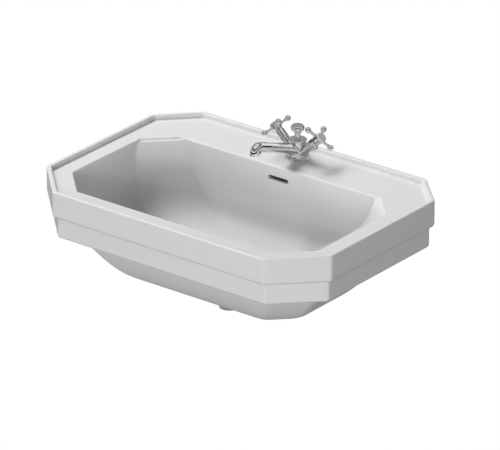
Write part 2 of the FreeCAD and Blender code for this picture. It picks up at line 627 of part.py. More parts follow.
def make_spout(core):
    """The spout rises from the body and turns down at its elbow. Its frame's +Z runs out along it."""
    run = "((spout_reach - spout_elbow_r * (1 - sin(spout_rise))) / cos(spout_rise))"
    root = "(spout_root_height - body_r * tan(spout_rise))"
    bend_height = "(%s + %s * sin(spout_rise) - spout_elbow_r * cos(spout_rise))" % (root, run)
    # The bend is a part of a torus that starts at the outlet, in front, and sweeps up and back.
    elbow_frame = under(TAP, frame_at("0", "spout_elbow_r - spout_reach", bend_height, "0; 0; 1", "-90"))
    elbow_frame = under(elbow_frame, frame_at("0", "0", "0", "1; 0; 0", "90"))
    drop = "(outlet_length)"
    outlet = under(TAP, frame_at("0", "-spout_reach", bend_height, "1; 0; 0", "180"))

    def bend(label, radius):
        item = fresh("Part::Torus", label)
        item.Angle1 = -180.0
        item.Angle2 = 180.0
        return link(item, Radius1="spout_elbow_r", Radius2=radius, Angle3="90 + spout_rise",
                    Placement=elbow_frame)

    blank = joined("spout_blank", cone("spout_tube", "spout_root_r", "spout_r", "0", run, SPOUT),
                   bend("spout_elbow", "spout_r"), rod("spout_end", "spout_r", "-0.01", drop, frame=outlet))
    tenon = rod("spout_tenon", "spout_bore_r + 1.5", "5.5 + rod_r", "body_r + 8", frame=SPOUT)
    seated = less("spout_seated", blank, *core,
                  rod("spout_seat", "body_r", "-spigot_length", "80", frame=TAP))
    cuts = [rod("spout_bore", "spout_bore_r", "0", run, frame=SPOUT), bend("elbow_bore", "spout_bore_r"),
            rod("outlet_bore", "aerator_r", drop + " - aerator_depth", drop + " + 1", frame=outlet)]
    spout = less("spout", joined("spout_outside", seated, tenon), *cuts)

    top = drop + " - aerator_depth"
    under_seal = top + " + aerator_seal_thickness"
    seal = ring("aerator_seal", "spout_bore_r + 0.2", "aerator_r", top, under_seal, outlet)
    housing = ring("aerator_housing", "aerator_r - aerator_wall", "aerator_r", under_seal, drop, outlet)
    plate = rod("aerator_plate", "aerator_r - aerator_wall", under_seal, drop + " - 1", frame=outlet)
    holes = [rod("aerator_hole_0", "1", "-20", "20", frame=outlet)]
    for number in range(6):
        spin = under(outlet, frame_at("0", "0", "0", "0; 0; 1", 60 * number))
        holes.append(rod("aerator_hole_%d" % (number + 1), "1", "-20", "20", ("aerator_r / 2", "0"), spin))
    return [spout, seal, housing, less("aerator_insert", plate, *holes)]


def make_valve(side, turn):
    """One valve, from its seat seal out to its index cap."""
    arm = ARM[side]
    spun = under(arm, frame_at("0", "0", "0", "0; 0; 1", turn))
    seat = "(chamber_start + seat_seal_thickness)"
    split = "(%s + disc_thickness)" % seat
    plate = "(%s + 0.05 + disc_thickness)" % split
    shoulder = "(%s + spindle_plate)" % plate
    collar = "(arm_length + cartridge_collar)"
    pocket = "(handle_end - hub_pocket_depth)"
    tip = "(%s - 1)" % pocket

    seal = ring(side + "_seat_seal", "water_way_r + 0.6", "chamber_r", "chamber_start", seat, arm)
    discs = []
    for name, low, frame in (("fixed", seat, arm), ("moving", split + " + 0.05", arm)):
        blank = rod("%s_%s_blank" % (side, name), "disc_r", low, low + " + disc_thickness", frame=frame)
        port = rod("%s_%s_port" % (side, name), "disc_port_r", "0", "arm_length", ("0", "disc_port_offset"),
                   frame)
        discs.append(less("%s_%s_disc" % (side, name), blank, port))

    shell = lathe(side + "_cartridge_blank", [
        ("disc_r + free_gap / 2", seat), ("chamber_r", seat), ("chamber_r", "arm_length"),
        ("arm_r", "arm_length"),
        ("arm_r", collar), ("spindle_r + running_fit", collar),
        ("spindle_r + running_fit", shoulder + " + free_gap"),
        ("disc_r + free_gap / 2", shoulder + " + free_gap")], arm)
    window = block(side + "_cartridge_window", ("-3", "-arm_r", seat + " + 0.5"),
                   ("3", "0", split + " - 0.5"), arm)
    cartridge = less(side + "_cartridge", shell, window)

    groove = "(spindle_groove_at + spindle_groove_width)"
    spindle = lathe(side + "_spindle_blank", [
        ("0", plate), ("disc_r - 0.2", plate), ("disc_r - 0.2", shoulder), ("spindle_r", shoulder),
        ("spindle_r", "spindle_groove_at"), ("spindle_groove_r", "spindle_groove_at"),
        ("spindle_groove_r", groove),
        ("spindle_r", groove), ("spindle_r", "sleeve_end"), ("spindle_tip_r", "sleeve_end"),
        ("spindle_tip_r", tip), ("0", tip)], arm)
    tapped = rod(side + "_spindle_thread", "screw_r", pocket + " - screw_length", "handle_end", frame=arm)
    spindle = less(side + "_spindle", spindle, tapped)
    spindle_seal = ring(side + "_spindle_seal", "spindle_groove_r", "spindle_r", "spindle_groove_at", groove,
                        arm)

    sleeve = lathe(side + "_valve_sleeve", [
        ("arm_r - sleeve_wall", collar), ("arm_r", collar), ("arm_r", "sleeve_end"),
        ("spindle_r + free_gap", "sleeve_end"), ("spindle_r + free_gap", "sleeve_end - sleeve_wall"),
        ("arm_r - sleeve_wall", "sleeve_end - sleeve_wall")], arm)

    hub = lathe(side + "_hub", [
        ("spindle_tip_r", "handle_start"), ("hub_foot_r", "handle_start"), ("hub_r", "handle_start + 3"),
        ("hub_r", "handle_end"), ("hub_pocket_r", "handle_end"), ("hub_pocket_r", pocket),
        ("spindle_tip_r", pocket)], spun)
    crosses = []
    for number in range(4):
        out = under(spun, frame_at("0", "0", "handle_centre", "0; 0; 1", 90 * number))
        out = under(out, frame_at("0", "0", "0", "1; 0; 0", "90"))
        name = "%s_cross_%d" % (side, number)
        crosses.append(rod(name + "_arm", "cross_arm_r", "hub_r - 1.5", "cross_reach", frame=out))
        crosses.append(ball(name + "_ball", "cross_ball_r", ("0", "0", "cross_reach"), out))
    handle = joined(side + "_handle", hub, *crosses)

    screw = lathe(side + "_handle_screw", [
        ("0", pocket + " - screw_length"), ("screw_r", pocket + " - screw_length"), ("screw_r", pocket),
        ("screw_head_r", pocket), ("screw_head_r", pocket + " + screw_head"),
        ("0", pocket + " + screw_head")], arm)
    cap = lathe(side + "_index_cap", [
        ("0", "handle_end - index_spigot"), ("hub_pocket_r", "handle_end - index_spigot"),
        ("hub_pocket_r", "handle_end"), ("index_r", "handle_end"),
        ("index_r", "handle_end + index_thickness / 2"),
        ("index_r - 1.2", "handle_end + index_thickness"), ("0", "handle_end + index_thickness")], arm)
    return [seal] + discs + [cartridge, spindle, spindle_seal, sleeve, handle, screw, cap]


def make_fixing():
    """What holds the tap down, under the deck."""
    under_deck = "-deck_wall"
    stud = rod("mounting_stud", "stud_r", "-stud_depth", "stud_grip - spigot_length", ("0", "stud_y"), TAP)
    pieces = [stud]
    top = under_deck
    for name, thickness in (("rubber_washer", "rubber_thickness"), ("clamp_plate", "plate_thickness")):
        low = "%s - %s" % (top, thickness)
        plate = rod(name + "_blank", "horseshoe_r", low, top, frame=TAP)
        slot = block(name + "_slot", ("-horseshoe_slot / 2", "-2 * horseshoe_r", low + " - 1"),
                     ("horseshoe_slot / 2", "horseshoe_bridge", top + " + 1"), TAP)
        hole = rod(name + "_hole", "stud_r + free_gap", low + " - 1", top + " + 1", ("0", "stud_y"), TAP)
        pieces.append(less(name, plate, slot, hole))
        top = low
    nut_blank = hexagon("clamp_nut_blank", "nut_r", top + " - nut_length", top, ("0", "stud_y"), TAP)
    thread = rod("clamp_nut_thread", "stud_r", top + " - nut_length - 1", top + " + 1", ("0", "stud_y"), TAP)
    pieces.append(less("clamp_nut", nut_blank, thread))
    return pieces


# ---------------------------------------------------------------- lift knob and linkage

def make_lift():
    """What slides when the knob is pulled: knob, rod, clamp, strap."""
    foot = "(body_height + cap_thickness + knob_gap)"
    flare = "(%s + knob_neck)" % foot
    rim = "(%s + knob_flare)" % flare
    crown = "(%s + knob_crown)" % rim
    knob = lathe("lift_knob", [
        ("rod_r", foot), ("knob_neck_r", foot), ("knob_neck_r", flare + " - 2"),
        ("knob_neck_r + 2", flare + " + 2"),
        ("knob_r - 1", rim + " - 3"), ("knob_r", rim), ("knob_top_r + 1.5", crown + " - 1.5"),
        ("knob_top_r", crown), ("0", crown), ("0", foot + " + knob_bore"), ("rod_r", foot + " + knob_bore")],
        TAP)
    lift_rod = rod("lift_rod", "rod_r", "-rod_end", foot + " + knob_bore", frame=TAP)

    level = "(basin_height + port_depth + lift_travel / 2 - lip_height)"
    strap_low = "-%s - strap_tail" % level
    near = "rod_r + strap_gap"
    far = "rod_r + strap_gap + strap_thickness"
    plate = block("strap_plate", ("-strap_width / 2", near, strap_low),
                  ("strap_width / 2", far, "-strap_top"), TAP)
    holes = []
    for number in range(5):
        up = "-%s + %d * strap_hole_r" % (level, 3 * number)
        hole = fresh("Part::Cylinder", "strap_hole_%d" % number)
        place = under(TAP, frame_at("0", "-strap_width", up, "1; 0; 0", "-90"))
        holes.append(link(hole, Radius="strap_hole_r", Height="4 * strap_width", Placement=place))
    strap = less("lift_strap", plate, *holes)

    half = "(rod_r + clamp_wall)"
    low = "-rod_end + 2"
    high = "-rod_end + 2 + clamp_height"
    clamp_nose = block("clamp_nose", ("-" + half, "-" + half, low), (half, far, high), TAP)
    clamp_back = block("clamp_back", ("-strap_width / 2 - clamp_wall", near + " - clamp_gap", low),
                       ("strap_width / 2 + clamp_wall", far + " + clamp_wall", high), TAP)
    clamp_blank = joined("clamp_blank", clamp_nose, clamp_back)
    strap_way = block("clamp_strap_way", ("-strap_width / 2", near, strap_low), ("strap_width / 2", far, "0"),
                      TAP)
    rod_way = rod("clamp_rod_way", "rod_r", "-rod_end - 5", "0", frame=TAP)
    screw_frame = under(TAP, frame_at("0", "-rod_r", "-rod_end + 2 + clamp_height / 2", "1; 0; 0", "90"))
    screw_way = rod("clamp_screw_way", "clamp_screw_r", "-0.5", "20", frame=screw_frame)
    clamp = less("rod_clamp", clamp_blank, strap_way, rod_way, screw_way)
    screw = joined("clamp_screw",
                   rod("clamp_screw_shank", "clamp_screw_r", "0", "clamp_wall + 3", frame=screw_frame),
                   rod("clamp_screw_head", "clamp_head_r", "clamp_wall + 2", "clamp_wall + 2 + clamp_head",
                       frame=screw_frame))
    return [knob, lift_rod, strap, clamp, screw]


# ---------------------------------------------------------------- waste

def make_waste():
    """The fixed pieces of the pop-up waste. Z is counted from the underside of the ceramic."""
    floor = "(basin_height - bowl_depth)"
    seat = "(%s - drain_recess_depth)" % floor
    flange_low = "(%s + flange_seal_thickness)" % seat
    flange_top = "(%s + waste_flange_thickness)" % flange_low
    tube = lathe("waste_tube", [
        ("waste_bore_r", "-waste_tube_end"), ("waste_r", "-waste_tube_end"), ("waste_r", flange_low),
        ("waste_flange_r", flange_low), ("waste_flange_r", flange_top + " - 1"),
        ("waste_flange_r - 2", flange_top), ("waste_bore_r + 4", flange_top), ("waste_bore_r", flange_low)],
        DRAIN)
    windows = block("waste_windows", ("-2 * waste_r", "-waste_slot_width / 2", "waste_slot_at"),
                    ("2 * waste_r", "waste_slot_width / 2", "waste_slot_at + waste_slot_height"), DRAIN)
    flange = less("waste_flange", tube, windows)
    flange_seal = ring("flange_seal", "drain_hole_r", "waste_flange_r", seat, flange_low, DRAIN)

    washer_top = "-gasket_thickness"
    nut_top = washer_top + " - washer_thickness"
    gasket = ring("lower_gasket", "waste_r", "gasket_r", washer_top, "0", DRAIN)
    washer = ring("slip_washer", "waste_r", "gasket_r", nut_top, washer_top, DRAIN)
    nut_blank = hexagon("back_nut_blank", "back_nut_r", nut_top + " - back_nut_height", nut_top, frame=DRAIN)
    nut_thread = rod("back_nut_thread", "waste_r", "-waste_tube_end", "0", frame=DRAIN)
    nut = less("back_nut", nut_blank, nut_thread)

    step = "-waste_tube_end - body_seal_thickness"
    shell = lathe("waste_shell", [
        ("waste_out_bore_r", "-body_end"), ("waste_r", "-body_end"), ("waste_r", "-port_depth - port_r"),
        ("waste_body_r", "-port_depth - port_r + 1"), ("waste_body_r", "-body_top"), ("waste_r", "-body_top"),
        ("waste_r", step), ("waste_out_bore_r", step)], DRAIN)
    port = rod("port_outside", "port_r", "-pivot_out + waste_out_bore_r + 1", "port_lip", frame=PORT)
    port_bore = rod("port_bore", "port_bore_r", "-ball_r - 3", "port_lip + 1", frame=PORT)
    rod_bore = cone("port_rod_bore", "port_bore_r", "rod_r + 2", "-pivot_out", "0", PORT)
    body = less("waste_body", joined("waste_body_blank", shell, port), port_bore, rod_bore)
    seal = ring("body_seal", "waste_out_bore_r", "waste_r", step, "-waste_tube_end", DRAIN)

    socket = "(ball_r + running_fit)"
    ring_blank = ring("ball_seats_blank", "rod_r + 1.8", "port_bore_r", "-ball_r - 1.5", "port_lip", PORT)
    gap = rod("ball_seats_gap", "2 * port_bore_r", "-0.4", "0.4", frame=PORT)
    seats = less("ball_seats", ring_blank, gap, ball("ball_socket", socket, ("0", "0", "0"), PORT))
    nut_shape = lathe("port_nut", [
        ("port_r", "port_lip - port_nut_grip"), ("port_nut_r", "port_lip - port_nut_grip"),
        ("port_nut_r", "port_lip + port_nut_wall"), ("rod_r + 1.8", "port_lip + port_nut_wall"),
        ("rod_r + 1.8", "port_lip"), ("port_r", "port_lip")], PORT)
    return [flange, flange_seal, gasket, washer, nut, body, seal, seats, nut_shape]


def make_ball_rod():
    """The lever between the lift strap and the plug, tilting on its ball."""
    lever = rod("ball_rod_lever", "rod_r", "-pivot_out - rod_tip", ROD_REACH + " + rod_tail", frame=BALL_ROD)
    pivot = ball("ball_rod_ball", "ball_r", ("0", "0", "0"), BALL_ROD)
    middle = "(%s + rod_r + strap_gap + strap_thickness / 2)" % ROD_REACH
    near = ring("near_ring", "rod_r", "ring_r", middle + " - ring_gap - ring_width", middle + " - ring_gap",
                BALL_ROD)
    far = ring("far_ring", "rod_r", "ring_r", middle + " + ring_gap", middle + " + ring_gap + ring_width",
               BALL_ROD)
    rings = fresh("Part::Compound", "retaining_rings")
    rings.Links = [near, far]
    return [joined("ball_rod", lever, pivot), rings]


def make_plug():
    """The plug, drawn where it stands at rest: lifted off its seat."""
    floor = "(basin_height - bowl_depth)"
    flange_top = "(%s - drain_recess_depth + flange_seal_thickness + waste_flange_thickness)" % floor
    rest = under(DRAIN, frame_at("0", "0", PLUG_LIFT))
    low = "(%s + plug_gap)" % flange_top
    plug = lathe("plug", [
        ("0", low), ("plug_r", low), ("plug_r", low + " + plug_thickness / 3"),
        ("plug_shoulder_r", low + " + plug_thickness * 0.8"), ("plug_crown_r", low + " + plug_thickness"),
        ("0", low + " + plug_thickness")], rest)
    seal = ring("plug_seal", "plug_stem_r", "plug_seal_r", low + " - plug_seal_thickness", low, rest)

    guide_top = "(plug_guide_at + plug_guide_height)"
    core = rod("guide_core", "plug_stem_r + 2", "plug_guide_at", guide_top, frame=rest)
    fins = [
        block("guide_fin_across", ("-waste_bore_r", "-plug_fin / 2", "plug_guide_at"),
              ("waste_bore_r", "plug_fin / 2", guide_top), rest),
        block("guide_fin_along", ("-plug_fin / 2", "-waste_bore_r", "plug_guide_at"),
              ("plug_fin / 2", "waste_bore_r", guide_top), rest),
    ]
    limit = rod("guide_limit", "waste_bore_r - free_gap", "plug_guide_at", guide_top, frame=rest)
    stem_way = rod("guide_stem_way", "plug_stem_r", "0", "basin_height", frame=rest)
    guide = less("plug_guide", shared("guide_blank", joined("guide_cross", core, *fins), limit), stem_way)

    eye = "(-port_depth - %s / 2)" % PLUG_LIFT
    shank = rod("plug_stem_shank", "plug_stem_r", eye + " + plug_eye_r - 1", low, frame=rest)
    eye_frame = under(rest, frame_at("0", "0", eye, "1; 0; 0", "-90"))
    plate = rod("plug_eye_plate", "plug_eye_r", "-plug_eye_thickness / 2", "plug_eye_thickness / 2",
                frame=eye_frame)
    hole = rod("plug_eye_hole", "plug_eye_hole_r", "-2 * plug_eye_thickness", "2 * plug_eye_thickness",
               frame=eye_frame)
    stem = less("plug_stem", joined("plug_stem_blank", shank, plate), hole)
    return [plug, seal, guide, stem]


# ---------------------------------------------------------------- build, check, write

def check_document():
    """Stop if any object of the document failed."""
    failed = [item.Label for item in doc.Objects if "Invalid" in item.State or "Error" in item.State]
    if failed:
        raise RuntimeError("failed objects: " + ", ".join(failed))


def main():
    pieces = [make_basin()]
    core = make_core()
    pieces += make_mixer(core)
    pieces += make_spout(core)
    pieces += make_valve("hot", "hot_turn")
    pieces += make_valve("cold", "cold_turn")
    pieces += make_fixing()
    pieces += make_lift()
    pieces += make_waste()
    pieces += make_ball_rod()
    pieces += make_plug()
    doc.recompute()
    check_document()
    for piece in pieces:
        if piece.Shape.isNull() or not piece.Shape.isValid() or not piece.Shape.Solids:
            raise RuntimeError("no valid solid: " + piece.Label)
    os.makedirs("parts", exist_ok=True)
    for piece in pieces:
        piece.Shape.exportStep("parts/%s.step" % piece.Label)
        solids = len(piece.Shape.Solids)
        print("%-22s %2d solid(s) %10.1f mm3" % (piece.Label, solids, piece.Shape.Volume))
    print(len(pieces), "pieces")


main()
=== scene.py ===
# %% [markdown]
# # A wall-hung octagonal washbasin with a two-handle mixer
# The basin is a single white glazed casting that bolts to the wall. Its mixer has a cross handle on each
# side, a fixed spout and a lift knob for the pop-up waste. The lesson starts from the CAD model: the marks
# that everything is measured from come from the CAD pieces, the sizes between them follow the CAD model,
# and Blender adds the soft edges, the glaze, the chrome and the light.

# %% Open the CAD frame
import json
import math
from typing import NamedTuple

import bmesh
import bpy
from mathutils import Matrix, Vector


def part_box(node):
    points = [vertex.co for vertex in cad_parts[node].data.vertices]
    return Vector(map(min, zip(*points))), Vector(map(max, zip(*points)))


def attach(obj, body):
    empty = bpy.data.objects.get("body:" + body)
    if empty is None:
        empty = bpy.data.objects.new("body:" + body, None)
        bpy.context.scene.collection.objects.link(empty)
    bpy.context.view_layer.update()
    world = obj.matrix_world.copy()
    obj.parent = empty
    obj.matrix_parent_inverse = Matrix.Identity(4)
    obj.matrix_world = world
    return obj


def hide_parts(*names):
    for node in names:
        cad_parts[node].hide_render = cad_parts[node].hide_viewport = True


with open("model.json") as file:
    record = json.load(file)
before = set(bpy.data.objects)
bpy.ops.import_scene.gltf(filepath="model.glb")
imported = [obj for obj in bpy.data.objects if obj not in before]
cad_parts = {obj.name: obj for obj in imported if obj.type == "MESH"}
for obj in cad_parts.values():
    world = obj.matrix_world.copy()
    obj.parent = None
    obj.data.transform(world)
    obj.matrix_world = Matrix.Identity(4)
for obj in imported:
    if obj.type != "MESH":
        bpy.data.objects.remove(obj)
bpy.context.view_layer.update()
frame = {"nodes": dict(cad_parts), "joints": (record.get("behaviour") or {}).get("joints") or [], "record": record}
MM = 0.001

# %% [markdown]
# ## Places
# A maker measures from a few fixed marks: the rim, the tap hole and the waste. Reading them off the CAD
# pieces keeps the two models together, which typing the numbers again would not.

# %% Marks taken from the CAD pieces
basin_low, basin_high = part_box("basin")
flange_low, flange_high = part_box("base_flange")
waste_low, waste_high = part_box("waste_flange")
spout_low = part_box("spout")[0]
cap_low, cap_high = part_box("top_cap")

RIM = basin_high[2]
HALF_WIDTH = basin_high[0]
PROJECTION = -basin_low[1]
DECK = flange_low[2]
TAP = Vector((0.0, (flange_low[1] + flange_high[1]) / 2, DECK))
DRAIN = Vector((0.0, (waste_low[1] + waste_high[1]) / 2, 0.0))
JOINTS = {joint["name"]: joint for joint in frame["joints"]}
print("rim at %.3f, deck at %.3f, tap at y %.3f, waste at y %.3f" % (RIM, DECK, TAP.y, DRAIN.y))

# %% [markdown]
# ## Shader sums as Python sums
# A finish is a small tree of nodes. Linking them by hand hides the sum they make, so a tiny class wraps a
# socket and lets Python's own signs add the Math nodes. Every other node comes from one method.

# %% A socket that can be added and multiplied
class Wire:
    """An output socket of a finish, usable in sums."""

    def __init__(self, finish, socket):
        self.finish = finish
        self.socket = socket

    def math(self, operation, first, second):
        return self.finish.node("ShaderNodeMath", {"operation": operation}, {0: first, 1: second})

    def __add__(self, other):
        return self.math("ADD", self, other)

    def __radd__(self, other):
        return self.math("ADD", other, self)

    def __mul__(self, other):
        return self.math("MULTIPLY", self, other)

    def __rmul__(self, other):
        return self.math("MULTIPLY", other, self)


# %% A finish: one material and the nodes in it
class Finish:
    """A material, its Principled shader and the nodes that feed it."""

    def __init__(self, name, **constants):
        self.material = bpy.data.materials.new(name)
        self.material.use_nodes = True
        self.tree = self.material.node_tree
        self.shader = self.tree.nodes["Principled BSDF"]
        self.feed(self.shader, constants)
        self.place = self.node("ShaderNodeTexCoord", output="Object")

    def feed(self, node, values):
        """Set or link input sockets, named by key or number."""
        for key, value in values.items():
            socket = node.inputs[key.replace("_", " ") if isinstance(key, str) else key]
            if isinstance(value, Wire):
                self.tree.links.new(value.socket, socket)
            else:
                socket.default_value = value

    def node(self, kind, settings=None, inputs=None, output=0):
        """A node with its settings made first, then its inputs. Returns one of its outputs."""
        made = self.tree.nodes.new(kind)
        for key, value in (settings or {}).items():
            if key == "stops":
                for stop, (place, colour) in zip(ramp_stops(made, len(value)), value):
                    stop.position = place
                    stop.color = colour
            else:
                setattr(made, key, value)
        self.feed(made, inputs or {})
        return Wire(self, made.outputs[output])

    def noise(self, scale, detail=4.0, stretch=(1.0, 1.0, 1.0)):
        """Cloudy grey from 0 to 1, in the piece's own place. The scale is in clouds per metre."""
        spot = self.node("ShaderNodeMapping", None, {"Vector": self.place, "Scale": stretch})
        return self.node("ShaderNodeTexNoise", None, {"Vector": spot, "Scale": scale, "Detail": detail})

    def ramp(self, factor, *stops):
        """A grey or coloured ramp over a factor."""
        return self.node("ShaderNodeValToRGB", {"stops": stops}, {"Fac": factor})

    def blend(self, factor, first, second):
        """A colour between two colours."""
        return self.node("ShaderNodeMix", {"data_type": "RGBA"}, {0: factor, 6: first, 7: second}, output=2)

    def bump(self, height, distance, strength):
        """Bumps of the given height in metres, on the shader's normal."""
        relief = self.node("ShaderNodeBump", None,
                           {"Height": height, "Distance": distance, "Strength": strength})
        self.feed(self.shader, {"Normal": relief})


def ramp_stops(node, count):
    """The stops of a colour ramp, with as many as are needed."""
    stops = node.color_ramp.elements
    while len(stops) < count:
        stops.new(0.5)
    return stops


def grey(level, tint=0.0):
    """A linear grey, a little warmer with a tint above 0."""
    return (level * (1 + tint), level, level * (1 - tint), 1.0)


# %% [markdown]
# ## Glazed ceramic
# Fired glaze is a clear, hard, glassy layer over white clay. It is almost perfectly smooth, but it pools a
# little in the firing, so wide soft waves bend the reflections, and a few fine pinholes and faint dried
# water marks keep it from looking like plastic. A flat white would lose all of that.

# %% The glaze
glaze = Finish("white_glaze", Roughness=0.1, IOR=1.52, Coat_Weight=0.35, Coat_Roughness=0.04)
clouds = glaze.noise(9.0, 3.0)
marks = glaze.ramp(glaze.noise(60.0, 6.0), (0.60, grey(0.0)), (0.78, grey(1.0)))
specks = glaze.ramp(glaze.noise(900.0, 2.0), (0.80, grey(0.0)), (0.86, grey(1.0)))
clay = glaze.blend(clouds, grey(0.580), grey(0.610))
glaze.feed(glaze.shader, {
    "Base Color": glaze.blend(specks * 0.35, clay, grey(0.55)),
    "Roughness": 0.09 + clouds * 0.04 + marks * 0.05,
})
glaze.bump(clouds * 1.0 + glaze.noise(240.0, 2.0) * 0.02, 0.0004, 0.35)
print("glaze:", len(glaze.tree.nodes), "nodes")

# %% [markdown]
# ## Chrome
# Chrome plate is a thin bright metal over polished brass. Nearly everything seen in it is the room, so its
# colour hardly matters, and the small things do: wipe marks that change the roughness, a few water spots,
# and the slight waviness of hand polishing.

# %% Bright chrome, and its satin back sides
def make_chrome(name, level, roughness):
    chrome = Finish(name, Metallic=1.0)
    wipes = chrome.noise(160.0, 5.0, (1.0, 0.35, 1.0))
    spots = chrome.ramp(chrome.noise(420.0, 2.0), (0.66, grey(0.0)), (0.74, grey(1.0)))
    chrome.feed(chrome.shader, {
        "Base Color": chrome.blend(wipes, grey(level), grey(level * 0.93, -0.01)),
        "Roughness": roughness + wipes * 0.05 + spots * 0.08,
    })
    chrome.bump(chrome.noise(90.0, 2.0), 0.0001, 0.25)
    print(name, "made")
    return chrome.material


bright_chrome = make_chrome("bright_chrome", 0.86, 0.03)

# %% [markdown]
# ## The plain materials out of sight
# Under the deck are bare brass, brushed steel, rubber and moulded plastic. Each has one thing that gives it
# away: brass has dull oxide clouds, brushed steel has long fine scratches, rubber a dusty grain, and
# moulded plastic a light even texture.

# %% Brass and brushed steel
brass = Finish("raw_brass", Metallic=1.0)
oxide = brass.noise(70.0, 5.0)
brass.feed(brass.shader, {
    "Base Color": brass.blend(oxide, (0.56, 0.40, 0.17, 1.0), (0.42, 0.29, 0.12, 1.0)),
    "Roughness": 0.26 + oxide * 0.22,
})
brass.bump(brass.noise(900.0, 3.0), 0.00006, 0.4)

steel = Finish("brushed_steel", Metallic=1.0)
scratches = steel.noise(220.0, 4.0, (1.0, 1.0, 14.0))
steel.feed(steel.shader, {
    "Base Color": steel.blend(scratches, grey(0.60), grey(0.50, 0.01)),
    "Roughness": 0.24 + scratches * 0.2,
})
steel.bump(scratches, 0.00004, 0.5)
print("metals made")

# %% Rubber, valve ceramic and plastics
def make_dull(name, light, dark, roughness, grain):
    """A dull moulded material with a grain in clouds per metre."""
    dull = Finish(name)
    mottle = dull.noise(120.0, 4.0)
    dull.feed(dull.shader, {
        "Base Color": dull.blend(mottle, light, dark),
        "Roughness": roughness + mottle * 0.12,
    })
    dull.bump(dull.noise(grain, 3.0), 0.00005, 0.5)
    return dull.material


FINISHES = {
    "glazed_ceramic": glaze.material,
    "chrome": bright_chrome,
    "brass": brass.material,
    "brushed_steel": steel.material,
    "steel": steel.material,
    "rubber": make_dull("black_rubber", grey(0.030), grey(0.018), 0.62, 1800.0),
    "disc_ceramic": make_dull("valve_ceramic", grey(0.70, 0.02), grey(0.62, 0.02), 0.24, 2500.0),
    "white_plastic": make_dull("white_plastic", grey(0.74, 0.01), grey(0.68, 0.01), 0.36, 1500.0),
    "grey_plastic": make_dull("grey_plastic", grey(0.34), grey(0.28), 0.38, 1500.0),
}
index_grey = make_dull("index_cap_enamel", grey(0.58), grey(0.53), 0.30, 1500.0)
print(len(FINISHES), "slots have a finish")

# %% [markdown]
# ## Mesh helpers
# Nearly every piece here is either turned on a lathe or drawn as a stack of rings. Rings joined by quads
# give clean, even faces, and an outline whose corners are rounded first needs no bevel afterwards.

# %% Round the corners of an outline
def softened(corners, radius, steps=4):
    """An open outline with each inner corner turned into an arc of at most the radius."""
    points = [Vector(corners[0])]
    for before, corner, after in zip(corners, corners[1:], corners[2:]):
        points += corner_arc(Vector(before), Vector(corner), Vector(after), radius, steps)
    return points + [Vector(corners[-1])]


def corner_arc(before, corner, after, radius, steps):
    """Points round one corner, kept within its two sides."""
    back = before - corner
    ahead = after - corner
    half = back.angle(ahead) / 2
    reach = min(radius / math.tan(half), 0.46 * back.length, 0.46 * ahead.length) if half > 0.01 else 0.0
    start = corner + back.normalized() * reach
    end = corner + ahead.normalized() * reach
    arc = []
    for step in range(steps + 1):
        share = step / steps
        arc.append(start * (1 - share) ** 2 + corner * 2 * share * (1 - share) + end * share ** 2)
    return arc


# %% Join rings into a skin, and finish a mesh
def skin(name, rings, closed=False):
    """A mesh over rings of equally many points. A closed skin joins its last ring to its first."""
    mesh = bpy.data.meshes.new(name)
    count = len(rings[0])
    rows = len(rings) if closed else len(rings) - 1
    faces = []
    for row in range(rows):
        low = row * count
        high = (row + 1) % len(rings) * count
        for number in range(count):
            ahead = (number + 1) % count
            faces.append((low + number, low + ahead, high + ahead, high + number))
    mesh.from_pydata([point for ring in rings for point in ring], [], faces)
    piece = bpy.data.objects.new(name, mesh)
    bpy.context.scene.collection.objects.link(piece)
    tidy_mesh(piece)
    return piece


def tidy_mesh(piece):
    """Merge double points, drop empty faces and turn all faces outward."""
    work = bmesh.new()
    work.from_mesh(piece.data)
    bmesh.ops.remove_doubles(work, verts=work.verts, dist=0.0000005)
    bmesh.ops.dissolve_degenerate(work, edges=work.edges, dist=0.0000005)
    bmesh.ops.recalc_face_normals(work, faces=work.faces)
    work.to_mesh(piece.data)
    work.free()


def apply_modifiers(piece):
    """Replace the mesh by what its modifiers make of it."""
    bpy.context.view_layer.update()
    made = bpy.data.meshes.new_from_object(piece.evaluated_get(bpy.context.evaluated_depsgraph_get()))
    piece.modifiers.clear()
    piece.data = made


def combine(piece, other, operation):
    """Cut, join or keep the common part of two closed meshes. The other one is used up."""
    change = piece.modifiers.new(operation.lower(), "BOOLEAN")
    change.operation = operation
    change.object = other
    change.solver = "EXACT"
    apply_modifiers(piece)
    bpy.data.objects.remove(other)
    tidy_mesh(piece)
    return piece


def finish_piece(piece, material, body, nodes, crease=32.0):
    """Smooth shading with crisp creases, then the finish, the body and the CAD nodes it stands for."""
    piece.data.materials.clear()
    piece.data.materials.append(material)
    piece.data.polygons.foreach_set("use_smooth", [True] * len(piece.data.polygons))
    piece.data.set_sharp_from_angle(angle=math.radians(crease))
    weigh = piece.modifiers.new("even_shading", "WEIGHTED_NORMAL")
    weigh.keep_sharp = True
    weigh.weight = 80
    apply_modifiers(piece)
    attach(piece, body)
    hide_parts(*nodes)
    print("%-18s %6d faces" % (piece.name, len(piece.data.polygons)))
    return piece


# %% Turn a piece on a lathe
def turned(name, outline, place, segments=72, closed=False):
    """Revolve an outline of (radius, height) about the Z axis of a place."""
    rings = []
    for radius, height in outline:
        angles = [2 * math.pi * number / segments for number in range(segments)]
        rings.append([place @ Vector((radius * math.cos(turn), radius * math.sin(turn), height))
                      for turn in angles])
    return skin(name, rings, closed)


# %% [markdown]
# ## The camera
# The object is seen from far away with a long lens, which keeps its parallel edges nearly parallel. The
# camera is placed by the angle round the basin, the height above it and the distance, as on a tripod.

# %% Camera
AIM = Vector((0.0432, -0.2602, 0.0052))
AZIMUTH = math.radians(37.94)
ELEVATION = math.radians(24.04)
DISTANCE = 11.02
LENS = 409.3

